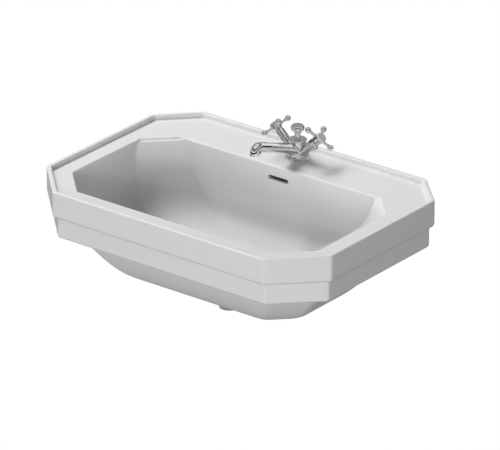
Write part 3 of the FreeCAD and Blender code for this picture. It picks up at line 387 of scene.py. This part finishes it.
outward = Vector((math.sin(AZIMUTH) * math.cos(ELEVATION), -math.cos(AZIMUTH) * math.cos(ELEVATION),
                  math.sin(ELEVATION)))
camera = bpy.data.objects.new("camera", bpy.data.cameras.new("camera"))
camera.data.lens = LENS
camera.data.sensor_width = 36.0
camera.data.clip_end = 200.0
camera.location = AIM + outward * DISTANCE
camera.rotation_euler = outward.to_track_quat("Z", "Y").to_euler()
bpy.context.scene.collection.objects.link(camera)
bpy.context.scene.camera = camera
bpy.context.scene.view_settings.view_transform = "Standard"
print("camera at", [round(value, 3) for value in camera.location])

# %% [markdown]
# ## The studio
# White glaze and chrome show what is around them more than what they are made of. Soft lamps high on the
# left and low in front light the clay, over a dim sky. The lamps stay out of the reflections, because their
# square shapes would lie in the glaze as hard patches. What the glaze and the chrome mirror is a second sky
# of wide bands, and its dark ones give the chrome its black lines. The floor and the far wall look white.

# %% Floor
RIM_ABOVE_FLOOR = 0.85
FLOOR_SIZE = 60.0
FLOOR_GREY = 0.20


def lit_backdrop(tree, seen, dim):
    """Mix two shaders so that the camera sees one, and the light in the room comes from the other."""
    path = tree.nodes.new("ShaderNodeLightPath")
    mix = tree.nodes.new("ShaderNodeMixShader")
    tree.links.new(path.outputs["Is Camera Ray"], mix.inputs[0])
    tree.links.new(dim.outputs[0], mix.inputs[1])
    tree.links.new(seen.outputs[0], mix.inputs[2])
    return mix


bpy.ops.mesh.primitive_plane_add(size=FLOOR_SIZE, location=(0, 0, RIM - RIM_ABOVE_FLOOR))
floor = bpy.context.object
floor.name = "floor"
pale = bpy.data.materials.new("pale_floor")
pale.use_nodes = True
tree = pale.node_tree
tree.nodes.remove(tree.nodes["Principled BSDF"])
seen = tree.nodes.new("ShaderNodeEmission")
seen.inputs["Color"].default_value = grey(1.0)
dim = tree.nodes.new("ShaderNodeBsdfDiffuse")
dim.inputs["Color"].default_value = grey(FLOOR_GREY)
tree.links.new(lit_backdrop(tree, seen, dim).outputs[0], tree.nodes["Material Output"].inputs["Surface"])
floor.data.materials.append(pale)
print("floor at", round(floor.location.z, 3))

# %% Surroundings: levels of grey from straight down at 0 to straight up at 1
SKY = [(0.0, 0.04), (0.44, 0.05), (0.50, 0.02), (0.58, 0.03), (0.64, 0.10), (0.80, 0.21), (1.0, 0.21)]
REFLECTED = [(0.0, 0.08), (0.30, 0.32), (0.44, 0.26), (0.47, 0.01), (0.575, 0.01), (0.60, 0.90),
             (0.645, 0.90), (0.67, 0.34), (0.78, 0.28), (0.82, 0.04), (0.87, 0.05), (0.90, 0.85), (1.0, 0.60)]


def sky_ramp(tree, levels):
    """A ramp node with the levels of one sky."""
    made = tree.nodes.new("ShaderNodeValToRGB")
    for stop, (share, level) in zip(ramp_stops(made, len(levels)), levels):
        stop.position = share
        stop.color = grey(level)
    return made


world = bpy.data.worlds.new("studio")
bpy.context.scene.world = world
world.use_nodes = True
tree = world.node_tree
tree.nodes.clear()
place = tree.nodes.new("ShaderNodeTexCoord")
split = tree.nodes.new("ShaderNodeSeparateXYZ")
height = tree.nodes.new("ShaderNodeMapRange")
height.inputs["From Min"].default_value = -1.0
lit = sky_ramp(tree, SKY)
mirrored = sky_ramp(tree, REFLECTED)
path = tree.nodes.new("ShaderNodeLightPath")
choose = tree.nodes.new("ShaderNodeMix")
choose.data_type = "RGBA"
around = tree.nodes.new("ShaderNodeBackground")
seen = tree.nodes.new("ShaderNodeBackground")
seen.inputs["Color"].default_value = grey(1.0)
result = tree.nodes.new("ShaderNodeOutputWorld")
tree.links.new(place.outputs["Generated"], split.inputs[0])
tree.links.new(split.outputs["Z"], height.inputs["Value"])
tree.links.new(height.outputs[0], lit.inputs[0])
tree.links.new(height.outputs[0], mirrored.inputs[0])
tree.links.new(path.outputs["Is Glossy Ray"], choose.inputs[0])
tree.links.new(lit.outputs[0], choose.inputs[6])
tree.links.new(mirrored.outputs[0], choose.inputs[7])
tree.links.new(choose.outputs[2], around.inputs["Color"])
tree.links.new(lit_backdrop(tree, seen, around).outputs[0], result.inputs[0])
print("surroundings:", len(SKY), "lit levels and", len(REFLECTED), "mirrored ones")

# %% Lamps
MIDDLE = Vector((0.0, -0.25, 0.0))
LAMP_DISTANCE = 8.0
LAMP_SIZE = 2.8


def soft_lamp(name, azimuth, elevation, power):
    """A square lamp that faces the basin's middle. Azimuth 0 is in front, 90 on the right."""
    around = math.radians(azimuth)
    up = math.radians(elevation)
    way = Vector((math.sin(around) * math.cos(up), -math.cos(around) * math.cos(up), math.sin(up)))
    lamp = bpy.data.objects.new(name, bpy.data.lights.new(name, "AREA"))
    lamp.data.size = LAMP_SIZE
    lamp.data.energy = power
    lamp.location = MIDDLE + way * LAMP_DISTANCE
    lamp.rotation_euler = way.to_track_quat("Z", "Y").to_euler()
    lamp.visible_glossy = False
    bpy.context.scene.collection.objects.link(lamp)
    print("%-10s %5.0f W" % (name, power))


soft_lamp("key", -100.0, 49.0, 520.0)
soft_lamp("back", -125.0, 40.0, 350.0)
soft_lamp("side", -70.0, 40.0, 110.0)
soft_lamp("front", 20.0, 8.0, 550.0)
soft_lamp("right", 90.0, 10.0, 75.0)

# %% [markdown]
# ## The ceramic
# The basin is slip-cast: thick walls, no sharp edge anywhere, and eight-sided outlines at every level. Box
# modelling with a bevel would give every edge the same radius. Here each level is an octagon of its own,
# drawn with rounded corners, and the levels are stacked from the waste up the bowl, over the deck and the
# raised lip, down the skirt and under the dish, back to the waste. That makes one closed skin.

# %% Octagons of the casting, in millimetres from the middle and from the wall
class Octagon(NamedTuple):
    """A level outline. Front and back are distances from the wall."""
    side: float
    front: float
    back: float
    front_cut: float
    back_cut: float

    def moved_in(self, step, from_wall=True):
        """The outline with its sides moved in. Its wall side stays if from_wall is False."""
        loss = (2 - math.sqrt(2)) * step
        back_gain = -loss if from_wall else (math.sqrt(2) - 1) * step
        back = self.back + (step if from_wall else 0.0)
        return Octagon(self.side - step, self.front - step, back,
                       self.front_cut - loss, self.back_cut + back_gain)

    def corners(self):
        right = [
            (self.side - self.back_cut, -self.back),
            (self.side, -self.back - self.back_cut),
            (self.side, -self.front + self.front_cut),
            (self.side - self.front_cut, -self.front),
        ]
        return [Vector(corner) for corner in right + [(-across, along) for across, along in reversed(right)]]


RIM_OUTLINE = Octagon(HALF_WIDTH / MM, PROJECTION / MM, back=0.0, front_cut=92.0, back_cut=74.0)
ARC_STEPS = 6
SIDE_STEPS = 5


def level(outline, depth, rounding):
    """One ring of the casting: an octagon with rounded corners at a depth below the rim."""
    corners = outline.corners()
    arcs = []
    for number, corner in enumerate(corners):
        arcs.append(corner_arc(corners[number - 1], corner, corners[(number + 1) % 8], rounding, ARC_STEPS))
    flat = []
    for number, arc in enumerate(arcs):
        flat += arc
        start = arc[-1]
        end = arcs[(number + 1) % 8][0]
        flat += [start.lerp(end, step / SIDE_STEPS) for step in range(1, SIDE_STEPS)]
    return [Vector((point.x * MM, point.y * MM, RIM - depth * MM)) for point in flat]


def quarter(steps):
    """Pairs of how far across and how far down a quarter of a circle has gone, from 0 to 1."""
    turns = [math.pi / 2 * step / steps for step in range(steps + 1)]
    return [(1 - math.cos(turn), math.sin(turn)) for turn in turns]


print("points in a level:", len(level(RIM_OUTLINE, 0.0, 11.0)))

# %% Levels of the bowl, from its floor up to the rounded edge at the deck
LIP_HEIGHT = 8.5
BOWL_MOUTH = Octagon(300.0, RIM_OUTLINE.front - 49.0, 115.0, 65.0, 56.0)
BOWL_DEPTH = 148.0
BOWL_SIDE_COVE = 195.0
BOWL_FRONT_COVE = 60.0
BOWL_BACK_COVE = 100.0
BOWL_CUT_GROWTH = 30.0
BOWL_EDGE_ROUND = 4.5
BOWL_CORNER_ROUND = 9.0
BOWL_FLOOR_ROUND = 25.0


def bowl_level(turn):
    """The turn runs from 0 at the deck, where the walls are upright, to 90 at the floor."""
    angle = math.radians(turn)
    run = (1 - math.cos(angle)) ** 1.22
    depth = LIP_HEIGHT + (BOWL_DEPTH - LIP_HEIGHT) * math.sin(angle)
    outline = Octagon(
        BOWL_MOUTH.side - BOWL_SIDE_COVE * run,
        BOWL_MOUTH.front - BOWL_FRONT_COVE * run,
        BOWL_MOUTH.back + BOWL_BACK_COVE * run,
        BOWL_MOUTH.front_cut,
        BOWL_MOUTH.back_cut + BOWL_CUT_GROWTH * math.sin(angle) ** 0.35)
    return level(outline, depth, BOWL_CORNER_ROUND + (BOWL_FLOOR_ROUND - BOWL_CORNER_ROUND) * run)


BELOW_EDGE_TURN = 1.9
bowl = [bowl_level(turn) for turn in range(90, 5, -4)]
bowl.append(bowl_level(BELOW_EDGE_TURN))
for across, down in quarter(5)[1:]:
    edge = BOWL_MOUTH.moved_in(-BOWL_EDGE_ROUND * across)
    bowl.append(level(edge, LIP_HEIGHT + BOWL_EDGE_ROUND * (1 - down), BOWL_CORNER_ROUND))
print("bowl levels:", len(bowl))

# %% Levels of the deck, the lip and the skirt
LIP_WIDTH = 10.0
LIP_FOOT_ROUND = 4.5
LIP_TOP_ROUND = 3.0
BAND_HEIGHT = 57.0
SKIRT_HEIGHT = 100.0
STEP_INSET = 9.5
STEP_ROUND = 9.5
SKIRT_ROUND = 6.0
CORNER_ROUND = 11.0

lip_foot = RIM_OUTLINE.moved_in(LIP_WIDTH + LIP_FOOT_ROUND)
outside = []
for across, down in quarter(5):
    outline = lip_foot.moved_in(-LIP_FOOT_ROUND * down)
    outside.append(level(outline, LIP_HEIGHT - LIP_FOOT_ROUND * across, 5.0))
for across, down in quarter(4):
    outline = RIM_OUTLINE.moved_in(LIP_WIDTH - LIP_TOP_ROUND * across)
    outside.append(level(outline, LIP_TOP_ROUND * (1 - down), 6.0))
for across, down in reversed(quarter(4)):
    outline = RIM_OUTLINE.moved_in(LIP_TOP_ROUND * across, from_wall=False)
    outside.append(level(outline, LIP_TOP_ROUND * (1 - down), CORNER_ROUND - LIP_TOP_ROUND * across))
for across, down in quarter(7):
    outline = RIM_OUTLINE.moved_in(STEP_ROUND * across, from_wall=False)
    outside.append(level(outline, BAND_HEIGHT - STEP_ROUND * (1 - down), CORNER_ROUND))
lower = RIM_OUTLINE.moved_in(STEP_INSET, from_wall=False)
outside.append(level(lower, BAND_HEIGHT + 1.2, CORNER_ROUND - 1.0))
for across, down in quarter(5):
    outline = RIM_OUTLINE.moved_in(STEP_INSET + SKIRT_ROUND * across, from_wall=False)
    outside.append(level(outline, SKIRT_HEIGHT - SKIRT_ROUND * (1 - down), CORNER_ROUND - 1.0))
print("deck, lip and skirt levels:", len(outside))

# %% Levels of the dish under the bowl
DISH_TOP = Octagon(300.0, RIM_OUTLINE.front - 47.0, 81.0, 70.0, 70.0)
DISH_SIDE_RUN = 108.0
DISH_END_RUN = 91.0
DISH_CUT_LOSS = 28.0
DISH_CORNER_ROUND = 16.0
DISH_FLOOR_ROUND = 42.0
BASIN_HEIGHT = (basin_high[2] - basin_low[2]) / MM


def dish_level(turn):
    """The turn runs from 0 at the skirt to 90 at the lowest point."""
    angle = math.radians(turn)
    run = (1 - math.cos(angle)) ** 0.54
    cut = DISH_TOP.front_cut - DISH_CUT_LOSS * run
    outline = Octagon(DISH_TOP.side - DISH_SIDE_RUN * run, DISH_TOP.front - DISH_END_RUN * run,
                      DISH_TOP.back + DISH_END_RUN * run, cut, cut)
    depth = SKIRT_HEIGHT + (BASIN_HEIGHT - SKIRT_HEIGHT) * math.sin(angle)
    return level(outline, depth, DISH_CORNER_ROUND + (DISH_FLOOR_ROUND - DISH_CORNER_ROUND) * run)


DISH_TURNS = (0.0, 1.5, 4.0, 8.0, 13.0, 19.0, 26.0, 34.0, 43.0, 52.0, 61.0, 70.0, 79.0, 90.0)
dish = [dish_level(turn) for turn in DISH_TURNS]
print("dish levels:", len(dish))

# %% The drain, and the closed skin
HOLE_R = 22.5
RECESS_R = 33.0
RECESS_DEPTH = 3.5


def towards_circle(ring, radius, depth, share):
    """A ring partly turned into a circle round the waste. At a share of 1 it is one."""
    points = []
    for point in ring:
        way = Vector((point.x - DRAIN.x, point.y - DRAIN.y)).normalized() * radius * MM
        round_point = Vector((DRAIN.x + way.x, DRAIN.y + way.y, RIM - depth * MM))
        points.append(point.lerp(round_point, share))
    return points


drain = [towards_circle(dish[-1], 40.0, BASIN_HEIGHT, share) for share in (0.5, 1.0)]
drain += [towards_circle(dish[-1], radius, depth, 1.0) for radius, depth in (
    (HOLE_R + 1.0, BASIN_HEIGHT), (HOLE_R, BASIN_HEIGHT - 1.0), (HOLE_R, BOWL_DEPTH + RECESS_DEPTH + 1.0),
    (HOLE_R + 1.0, BOWL_DEPTH + RECESS_DEPTH), (RECESS_R, BOWL_DEPTH + RECESS_DEPTH))]
drain += [towards_circle(bowl[0], radius, depth, 1.0) for radius, depth in (
    (RECESS_R, BOWL_DEPTH + 1.2), (RECESS_R + 0.4, BOWL_DEPTH + 0.5), (RECESS_R + 1.2, BOWL_DEPTH + 0.1))]
drain += [towards_circle(bowl[0], RECESS_R + 2.0, BOWL_DEPTH, share) for share in (0.85, 0.6, 0.35, 0.15)]
basin = skin("basin_casting", bowl + outside + dish + drain, closed=True)
print("casting:", len(basin.data.polygons), "faces before its openings")

# %% [markdown]
# ## The openings in the casting
# The clay is cut while it is soft: the tap hole, the slot of the overflow and the dark channel behind it, two
# holes for the wall bolts and a wide service opening behind the bowl. They are cut with closed cutters,
# because a slot drawn into the levels would bend all of them. The slot's cutter flares at its mouth, so the
# cut edge looks fingered.

# %% Cutters
def box_cutter(name, low, high):
    """A box between two corners in millimetres: across, away from the wall, and above the wall bolts."""
    corners = [(low[0], low[1]), (high[0], low[1]), (high[0], high[1]), (low[0], high[1])]
    rings = [[Vector((x * MM, y * MM, z * MM)) for x, y in corners] for z in (low[2], high[2])]
    piece = skin(name, rings)
    close_ends(piece)
    return piece


def close_ends(piece):
    """Fill the open ends of a skin."""
    work = bmesh.new()
    work.from_mesh(piece.data)
    bmesh.ops.holes_fill(work, edges=[edge for edge in work.edges if edge.is_boundary], sides=0)
    bmesh.ops.recalc_face_normals(work, faces=work.faces)
    work.to_mesh(piece.data)
    work.free()


def round_cutter(name, radius, low, high, place):
    """A cylinder along the Z axis of a place, in metres."""
    return turned(name, [(0.0, low), (radius, low), (radius, high), (0.0, high)], place, 48)


def slot_cutter(name, width, height, middle, mouth, flare):
    """A level slot with round corners that widens towards its mouth. Each level is a depth and a growth."""
    rings = []
    for depth, growth in ((-4.0, 1.0), (0.0, 1.0), (0.4, 0.45), (1.2, 0.1), (2.4, 0.0), (22.0, 0.0)):
        across = width / 2 + flare * growth
        up = height / 2 + flare * growth
        corners = [Vector(corner) for corner in ((-across, -up), (across, -up), (across, up), (-across, up))]
        ring = []
        for number, corner in enumerate(corners):
            ring += corner_arc(corners[number - 1], corner, corners[(number + 1) % 4], 2.2, 4)
        rings.append([Vector((point.x * MM, (mouth + depth) * MM, RIM + (point.y - middle) * MM))
                      for point in ring])
    piece = skin(name, rings)
    close_ends(piece)
    return piece


deck_level = RIM / MM - LIP_HEIGHT
shelf_level = RIM / MM - SKIRT_HEIGHT
cutters = [
    box_cutter("service_mouth", (-250.0, -79.0, shelf_level - 5.0), (250.0, -14.0, shelf_level + 9.0)),
    box_cutter("service_space", (-262.0, -79.0, shelf_level + 8.0), (262.0, -14.0, deck_level - 11.0)),
    round_cutter("tap_hole", 17.5 * MM, -0.014, 0.002, Matrix.Translation(TAP)),
    slot_cutter("overflow", 48.0, 8.5, 34.5, -116.5, 1.6),
    box_cutter("overflow_chamber", (-30.0, -108.0, RIM / MM - 75.0), (30.0, -86.0, RIM / MM - 28.0)),
]
for across in (-140.0, 140.0):
    place = Matrix.Translation((across * MM, 0.002, 0.0)) @ Matrix.Rotation(math.radians(90), 4, "X")
    cutters.append(round_cutter("bolt_hole", 9.0 * MM, 0.0, 0.018, place))
for cutter in cutters:
    combine(basin, cutter, "DIFFERENCE")
finish_piece(basin, glaze.material, "basin_body", ["basin"])
basin.name = "basin_ceramic"

# %% [markdown]
# ## The tap's turned pieces
# The base flange, the cap, the lift knob and the valve sleeves are turned and then plated, so a lathe
# outline with softened corners is all they are. The radii are small, but they catch the light.

# %% Base flange, cap and lift knob
tap_place = Matrix.Translation(TAP)
flange_r = (flange_high[0] - flange_low[0]) / 2
flange_top = flange_high[2] - DECK
NECK_R = 18.0 * MM
outline = [(NECK_R, 0.0), (flange_r, 0.0), (flange_r, flange_top * 0.5), (flange_r - 1.5 * MM, flange_top),
           (NECK_R, flange_top), (NECK_R, 0.0)]
base = turned("tap_base", softened(outline, 1.8 * MM, 6), tap_place, 96)
finish_piece(base, bright_chrome, "basin_body", ["base_flange"])

cap_foot = cap_low[2] - DECK
cap_top = cap_high[2] - DECK
cap_r = (cap_high[0] - cap_low[0]) / 2
GUIDE_R = 5.0 * MM
CAP_SPIGOT_R = 12.0 * MM
BODY_TOP = 36.0 * MM
outline = [(GUIDE_R, cap_foot), (CAP_SPIGOT_R, cap_foot), (CAP_SPIGOT_R, BODY_TOP), (cap_r, BODY_TOP),
           (cap_r, cap_top), (GUIDE_R, cap_top), (GUIDE_R, cap_foot)]
cap = turned("tap_cap", softened(outline, 1.3 * MM, 6), tap_place, 96)
finish_piece(cap, bright_chrome, "basin_body", ["top_cap"])

knob_low, knob_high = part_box("lift_knob")
foot = knob_low[2] - DECK
crown = knob_high[2] - DECK
ROD_R = 2.5 * MM
KNOB_R = 13.75 * MM
KNOB_TOP_R = 11.6 * MM
outline = [
    (ROD_R, foot), (6.4 * MM, foot), (6.4 * MM, foot + 2.2 * MM), (5.4 * MM, foot + 3.4 * MM),
    (5.4 * MM, foot + 10.0 * MM), (6.6 * MM, foot + 13.0 * MM), (11.5 * MM, foot + 17.5 * MM),
    (KNOB_R, foot + 22.0 * MM), (KNOB_R, foot + 24.5 * MM), (KNOB_TOP_R, crown), (0.0, crown - 0.3 * MM)]
outline = [(0.0, foot + 20.0 * MM), (ROD_R, foot + 20.0 * MM)] + outline
knob = turned("pull_knob", softened(outline, 3.0 * MM, 6), tap_place, 96)
finish_piece(knob, bright_chrome, "lift", ["lift_knob"])

# %% [markdown]
# ## The mixer body
# The body and its two arms are one brass casting, and the arms grow out of it with soft fillets. Joining
# turned pieces leaves hard seams, so the union is wrapped in a fine even skin by a voxel remesh, and then
# smoothed a little, which fills the seams as a polishing wheel does.

# %% Frames of the two arms, from their joints
def arm_place(joint):
    """A frame on the joint's axis, with Z outward, as the CAD model has it."""
    axis = Vector(joint["axis"]).normalized()
    tilt = math.asin(axis.z)
    lean = math.copysign(math.pi / 2 - tilt, axis.x)
    return Matrix.Translation(Vector(joint["pos_m"])) @ Matrix.Rotation(lean, 4, "Y")


HANDLE_CENTRE = 73.0 * MM
ARMS = {side: arm_place(JOINTS[side + "_handle_turn"]) @ Matrix.Translation((0, 0, -HANDLE_CENTRE))
        for side in ("hot", "cold")}
ARM_R = 9.75 * MM
ARM_LENGTH = 46.0 * MM

# %% Body
SPIGOT_R = 16.0 * MM
SPIGOT_END = -6.0 * MM
BODY_NECK_R = 17.8 * MM
BODY_R = 16.5 * MM
outline = [(0.0, SPIGOT_END), (SPIGOT_R, SPIGOT_END), (SPIGOT_R, 0.0), (BODY_NECK_R, 0.0),
           (BODY_NECK_R, 5.0 * MM), (21.5 * MM, 5.05 * MM), (18.6 * MM, 7.6 * MM), (16.9 * MM, 12.0 * MM),
           (BODY_R, 20.0 * MM), (BODY_R, BODY_TOP), (0.0, BODY_TOP)]
body = turned("tap_body", softened(outline, 1.0 * MM), tap_place, 96)
for side in ARMS:
    outline = [(0.0, 6.0 * MM), (ARM_R * 1.3, 6.0 * MM), (ARM_R * 1.16, 19.0 * MM), (ARM_R, 27.0 * MM),
               (ARM_R, ARM_LENGTH), (0.0, ARM_LENGTH)]
    arm = turned("arm", softened(outline, 2.0 * MM), ARMS[side], 72)
    combine(body, arm, "UNION")
rod_way = round_cutter("rod_way", 3.0 * MM, -0.01, 0.05, tap_place)
body.data.remesh_voxel_size = 0.5 * MM
bpy.context.view_layer.objects.active = body
bpy.ops.object.voxel_remesh()
polish = body.modifiers.new("polish", "SMOOTH")
polish.factor = 0.5
polish.iterations = 8
apply_modifiers(body)
combine(body, rod_way, "DIFFERENCE")
finish_piece(body, bright_chrome, "basin_body", ["mixer_body"], crease=50.0)

# %% [markdown]
# ## The spout
# The spout leaves the body at a low angle, thins towards its end and turns down in a tight elbow. It is a
# circle swept along that path: rings set square to the path, outside from root to mouth and back up the
# bore, so the mouth has a real thickness and a hollow for the aerator.

# %% Spout
RISE = math.radians(21.0)
ELBOW_R = 11.0 * MM
END_R = 9.3 * MM
REACH = -(spout_low[1] - TAP.y) - END_R
ROOT_UP = 22.5 * MM - BODY_R * math.tan(RISE)
straight = (REACH - ELBOW_R * (1 - math.sin(RISE))) / math.cos(RISE)


def spout_ring(along, turn, radius, count=48):
    """A ring round the path: along its straight run, or at a turn of its elbow past the run's end."""
    centre = Vector((0.0, -along * math.cos(RISE), ROOT_UP + along * math.sin(RISE)))
    pivot = centre + Vector((0.0, -math.sin(RISE), -math.cos(RISE))) * ELBOW_R
    angle = RISE - turn
    up = Vector((0.0, math.sin(angle), math.cos(angle)))
    if turn > 0:
        centre = pivot + up * ELBOW_R
    side = Vector((1.0, 0.0, 0.0))
    angles = [2 * math.pi * number / count for number in range(count)]
    return [TAP + centre + (side * math.cos(spot) + up * math.sin(spot)) * radius for spot in angles]


TAPER_START = 25.0 * MM
TAPER_START_R = 11.7 * MM
down = RISE + math.pi / 2
rings = []
for along, radius in ((14.6, 0.2), (14.6, 13.0), (16.6, 12.9), (18.4, 12.5), (21.0, 12.0), (25.0, 11.7)):
    rings.append(spout_ring(along * MM, 0.0, radius * MM))
for step in range(1, 9):
    share = step / 8
    along = TAPER_START + (straight - TAPER_START) * share
    rings.append(spout_ring(along, 0.0, TAPER_START_R * (1 - share) + END_R * share))
rings += [spout_ring(straight, down * step / 12, END_R) for step in range(1, 13)]


def dropped(ring, distance):
    return [point - Vector((0.0, 0.0, distance)) for point in ring]


for radius, drop in ((9.3, 1.3), (9.05, 1.8), (8.6, 2.0), (8.2, 2.0), (8.0, 1.8), (8.0, -2.5), (0.05, -2.5)):
    rings.append(dropped(spout_ring(straight, down, radius * MM), drop * MM))
spout = skin("tap_spout", rings)
close_ends(spout)
finish_piece(spout, bright_chrome, "basin_body", ["spout"], crease=40.0)

# %% [markdown]
# ## Handles and sleeves
# Each handle is a forged cross: a turned hub, four round arms with a bead at their roots, and a ball on
# each. They are joined into one closed mesh, and stand at different angles, as handles do in use.

# %% Handles, index caps and sleeves
HANDLE_START = 64.2 * MM
HANDLE_END = 80.0 * MM
CROSS_REACH = 29.0 * MM
BALL_R = 6.0 * MM
TURNS = {"hot": -30.0, "cold": 27.0}


def cross_arm(place):
    """One arm of a handle with its ball, along the Z axis of a place."""
    outline = [(0.0, 6.0 * MM), (3.4 * MM, 6.0 * MM), (3.4 * MM, 11.4 * MM), (3.9 * MM, 12.0 * MM),
               (2.7 * MM, 13.4 * MM), (2.7 * MM, 20.6 * MM), (3.3 * MM, 21.2 * MM), (3.3 * MM, 22.2 * MM)]
    for step in range(1, 15):
        angle = math.radians(28 + (180 - 28) * step / 14)
        outline.append((BALL_R * math.sin(angle), CROSS_REACH - BALL_R * math.cos(angle)))
    outline[-1] = (0.0, CROSS_REACH + BALL_R)
    return turned("cross_arm", outline, place, 32)


for side, place in ARMS.items():
    body_name = side + "_handle"
    outline = [
        (3.0 * MM, HANDLE_START), (8.2 * MM, HANDLE_START), (8.6 * MM, HANDLE_START + 1.0 * MM),
        (8.6 * MM, HANDLE_START + 1.8 * MM), (10.6 * MM, HANDLE_START + 3.4 * MM), (10.6 * MM, HANDLE_END),
        (8.4 * MM, HANDLE_END), (8.4 * MM, HANDLE_END - 5.0 * MM), (3.0 * MM, HANDLE_END - 5.0 * MM),
        (3.0 * MM, HANDLE_START)]
    handle = turned(side + "_cross_handle", softened(outline, 0.8 * MM), place, 64)
    for number in range(4):
        out = Matrix.Rotation(math.radians(TURNS[side] + 90 * number), 4, "Z")
        lay = Matrix.Translation((0, 0, HANDLE_CENTRE)) @ out @ Matrix.Rotation(math.radians(90), 4, "Y")
        arm = cross_arm(place @ lay)
        combine(handle, arm, "UNION")
    finish_piece(handle, bright_chrome, body_name, [side + "_handle"])

    outline = [(0.0, HANDLE_END - 1.2 * MM), (8.3 * MM, HANDLE_END - 1.2 * MM), (8.3 * MM, HANDLE_END),
               (10.3 * MM, HANDLE_END), (10.3 * MM, HANDLE_END + 1.3 * MM), (9.0 * MM, HANDLE_END + 2.2 * MM),
               (0.0, HANDLE_END + 2.2 * MM)]
    cap = turned(side + "_index_button", softened(outline, 0.7 * MM), place, 64)
    finish_piece(cap, index_grey, body_name, [side + "_index_cap"])

    outline = [(7.25 * MM, 49.0 * MM), (ARM_R, 49.0 * MM), (ARM_R, 51.0 * MM), (9.1 * MM, 51.5 * MM),
               (9.1 * MM, 52.5 * MM), (ARM_R, 53.0 * MM), (ARM_R, 60.0 * MM), (9.2 * MM, 61.0 * MM),
               (9.2 * MM, 63.0 * MM), (3.9 * MM, 63.0 * MM), (3.9 * MM, 60.5 * MM), (7.25 * MM, 60.5 * MM),
               (7.25 * MM, 49.0 * MM)]
    sleeve = turned(side + "_sleeve", softened(outline, 0.4 * MM), place, 72)
    finish_piece(sleeve, bright_chrome, "basin_body", [side + "_valve_sleeve"])

# %% [markdown]
# ## The CAD pieces that stay
# Everything under the deck is right as the CAD model has it, so it keeps its mesh and gets the finish of
# its slot in the record.

# %% Finishes of the CAD pieces
slot_of = {part["node"]: part["material_slot"] for part in frame["record"]["subparts"]}
dressed = 0
for node, piece in frame["nodes"].items():
    if piece.hide_render:
        continue
    piece.data.materials.clear()
    piece.data.materials.append(FINISHES[slot_of[node]])
    dressed += 1
print(dressed, "CAD pieces keep their mesh")
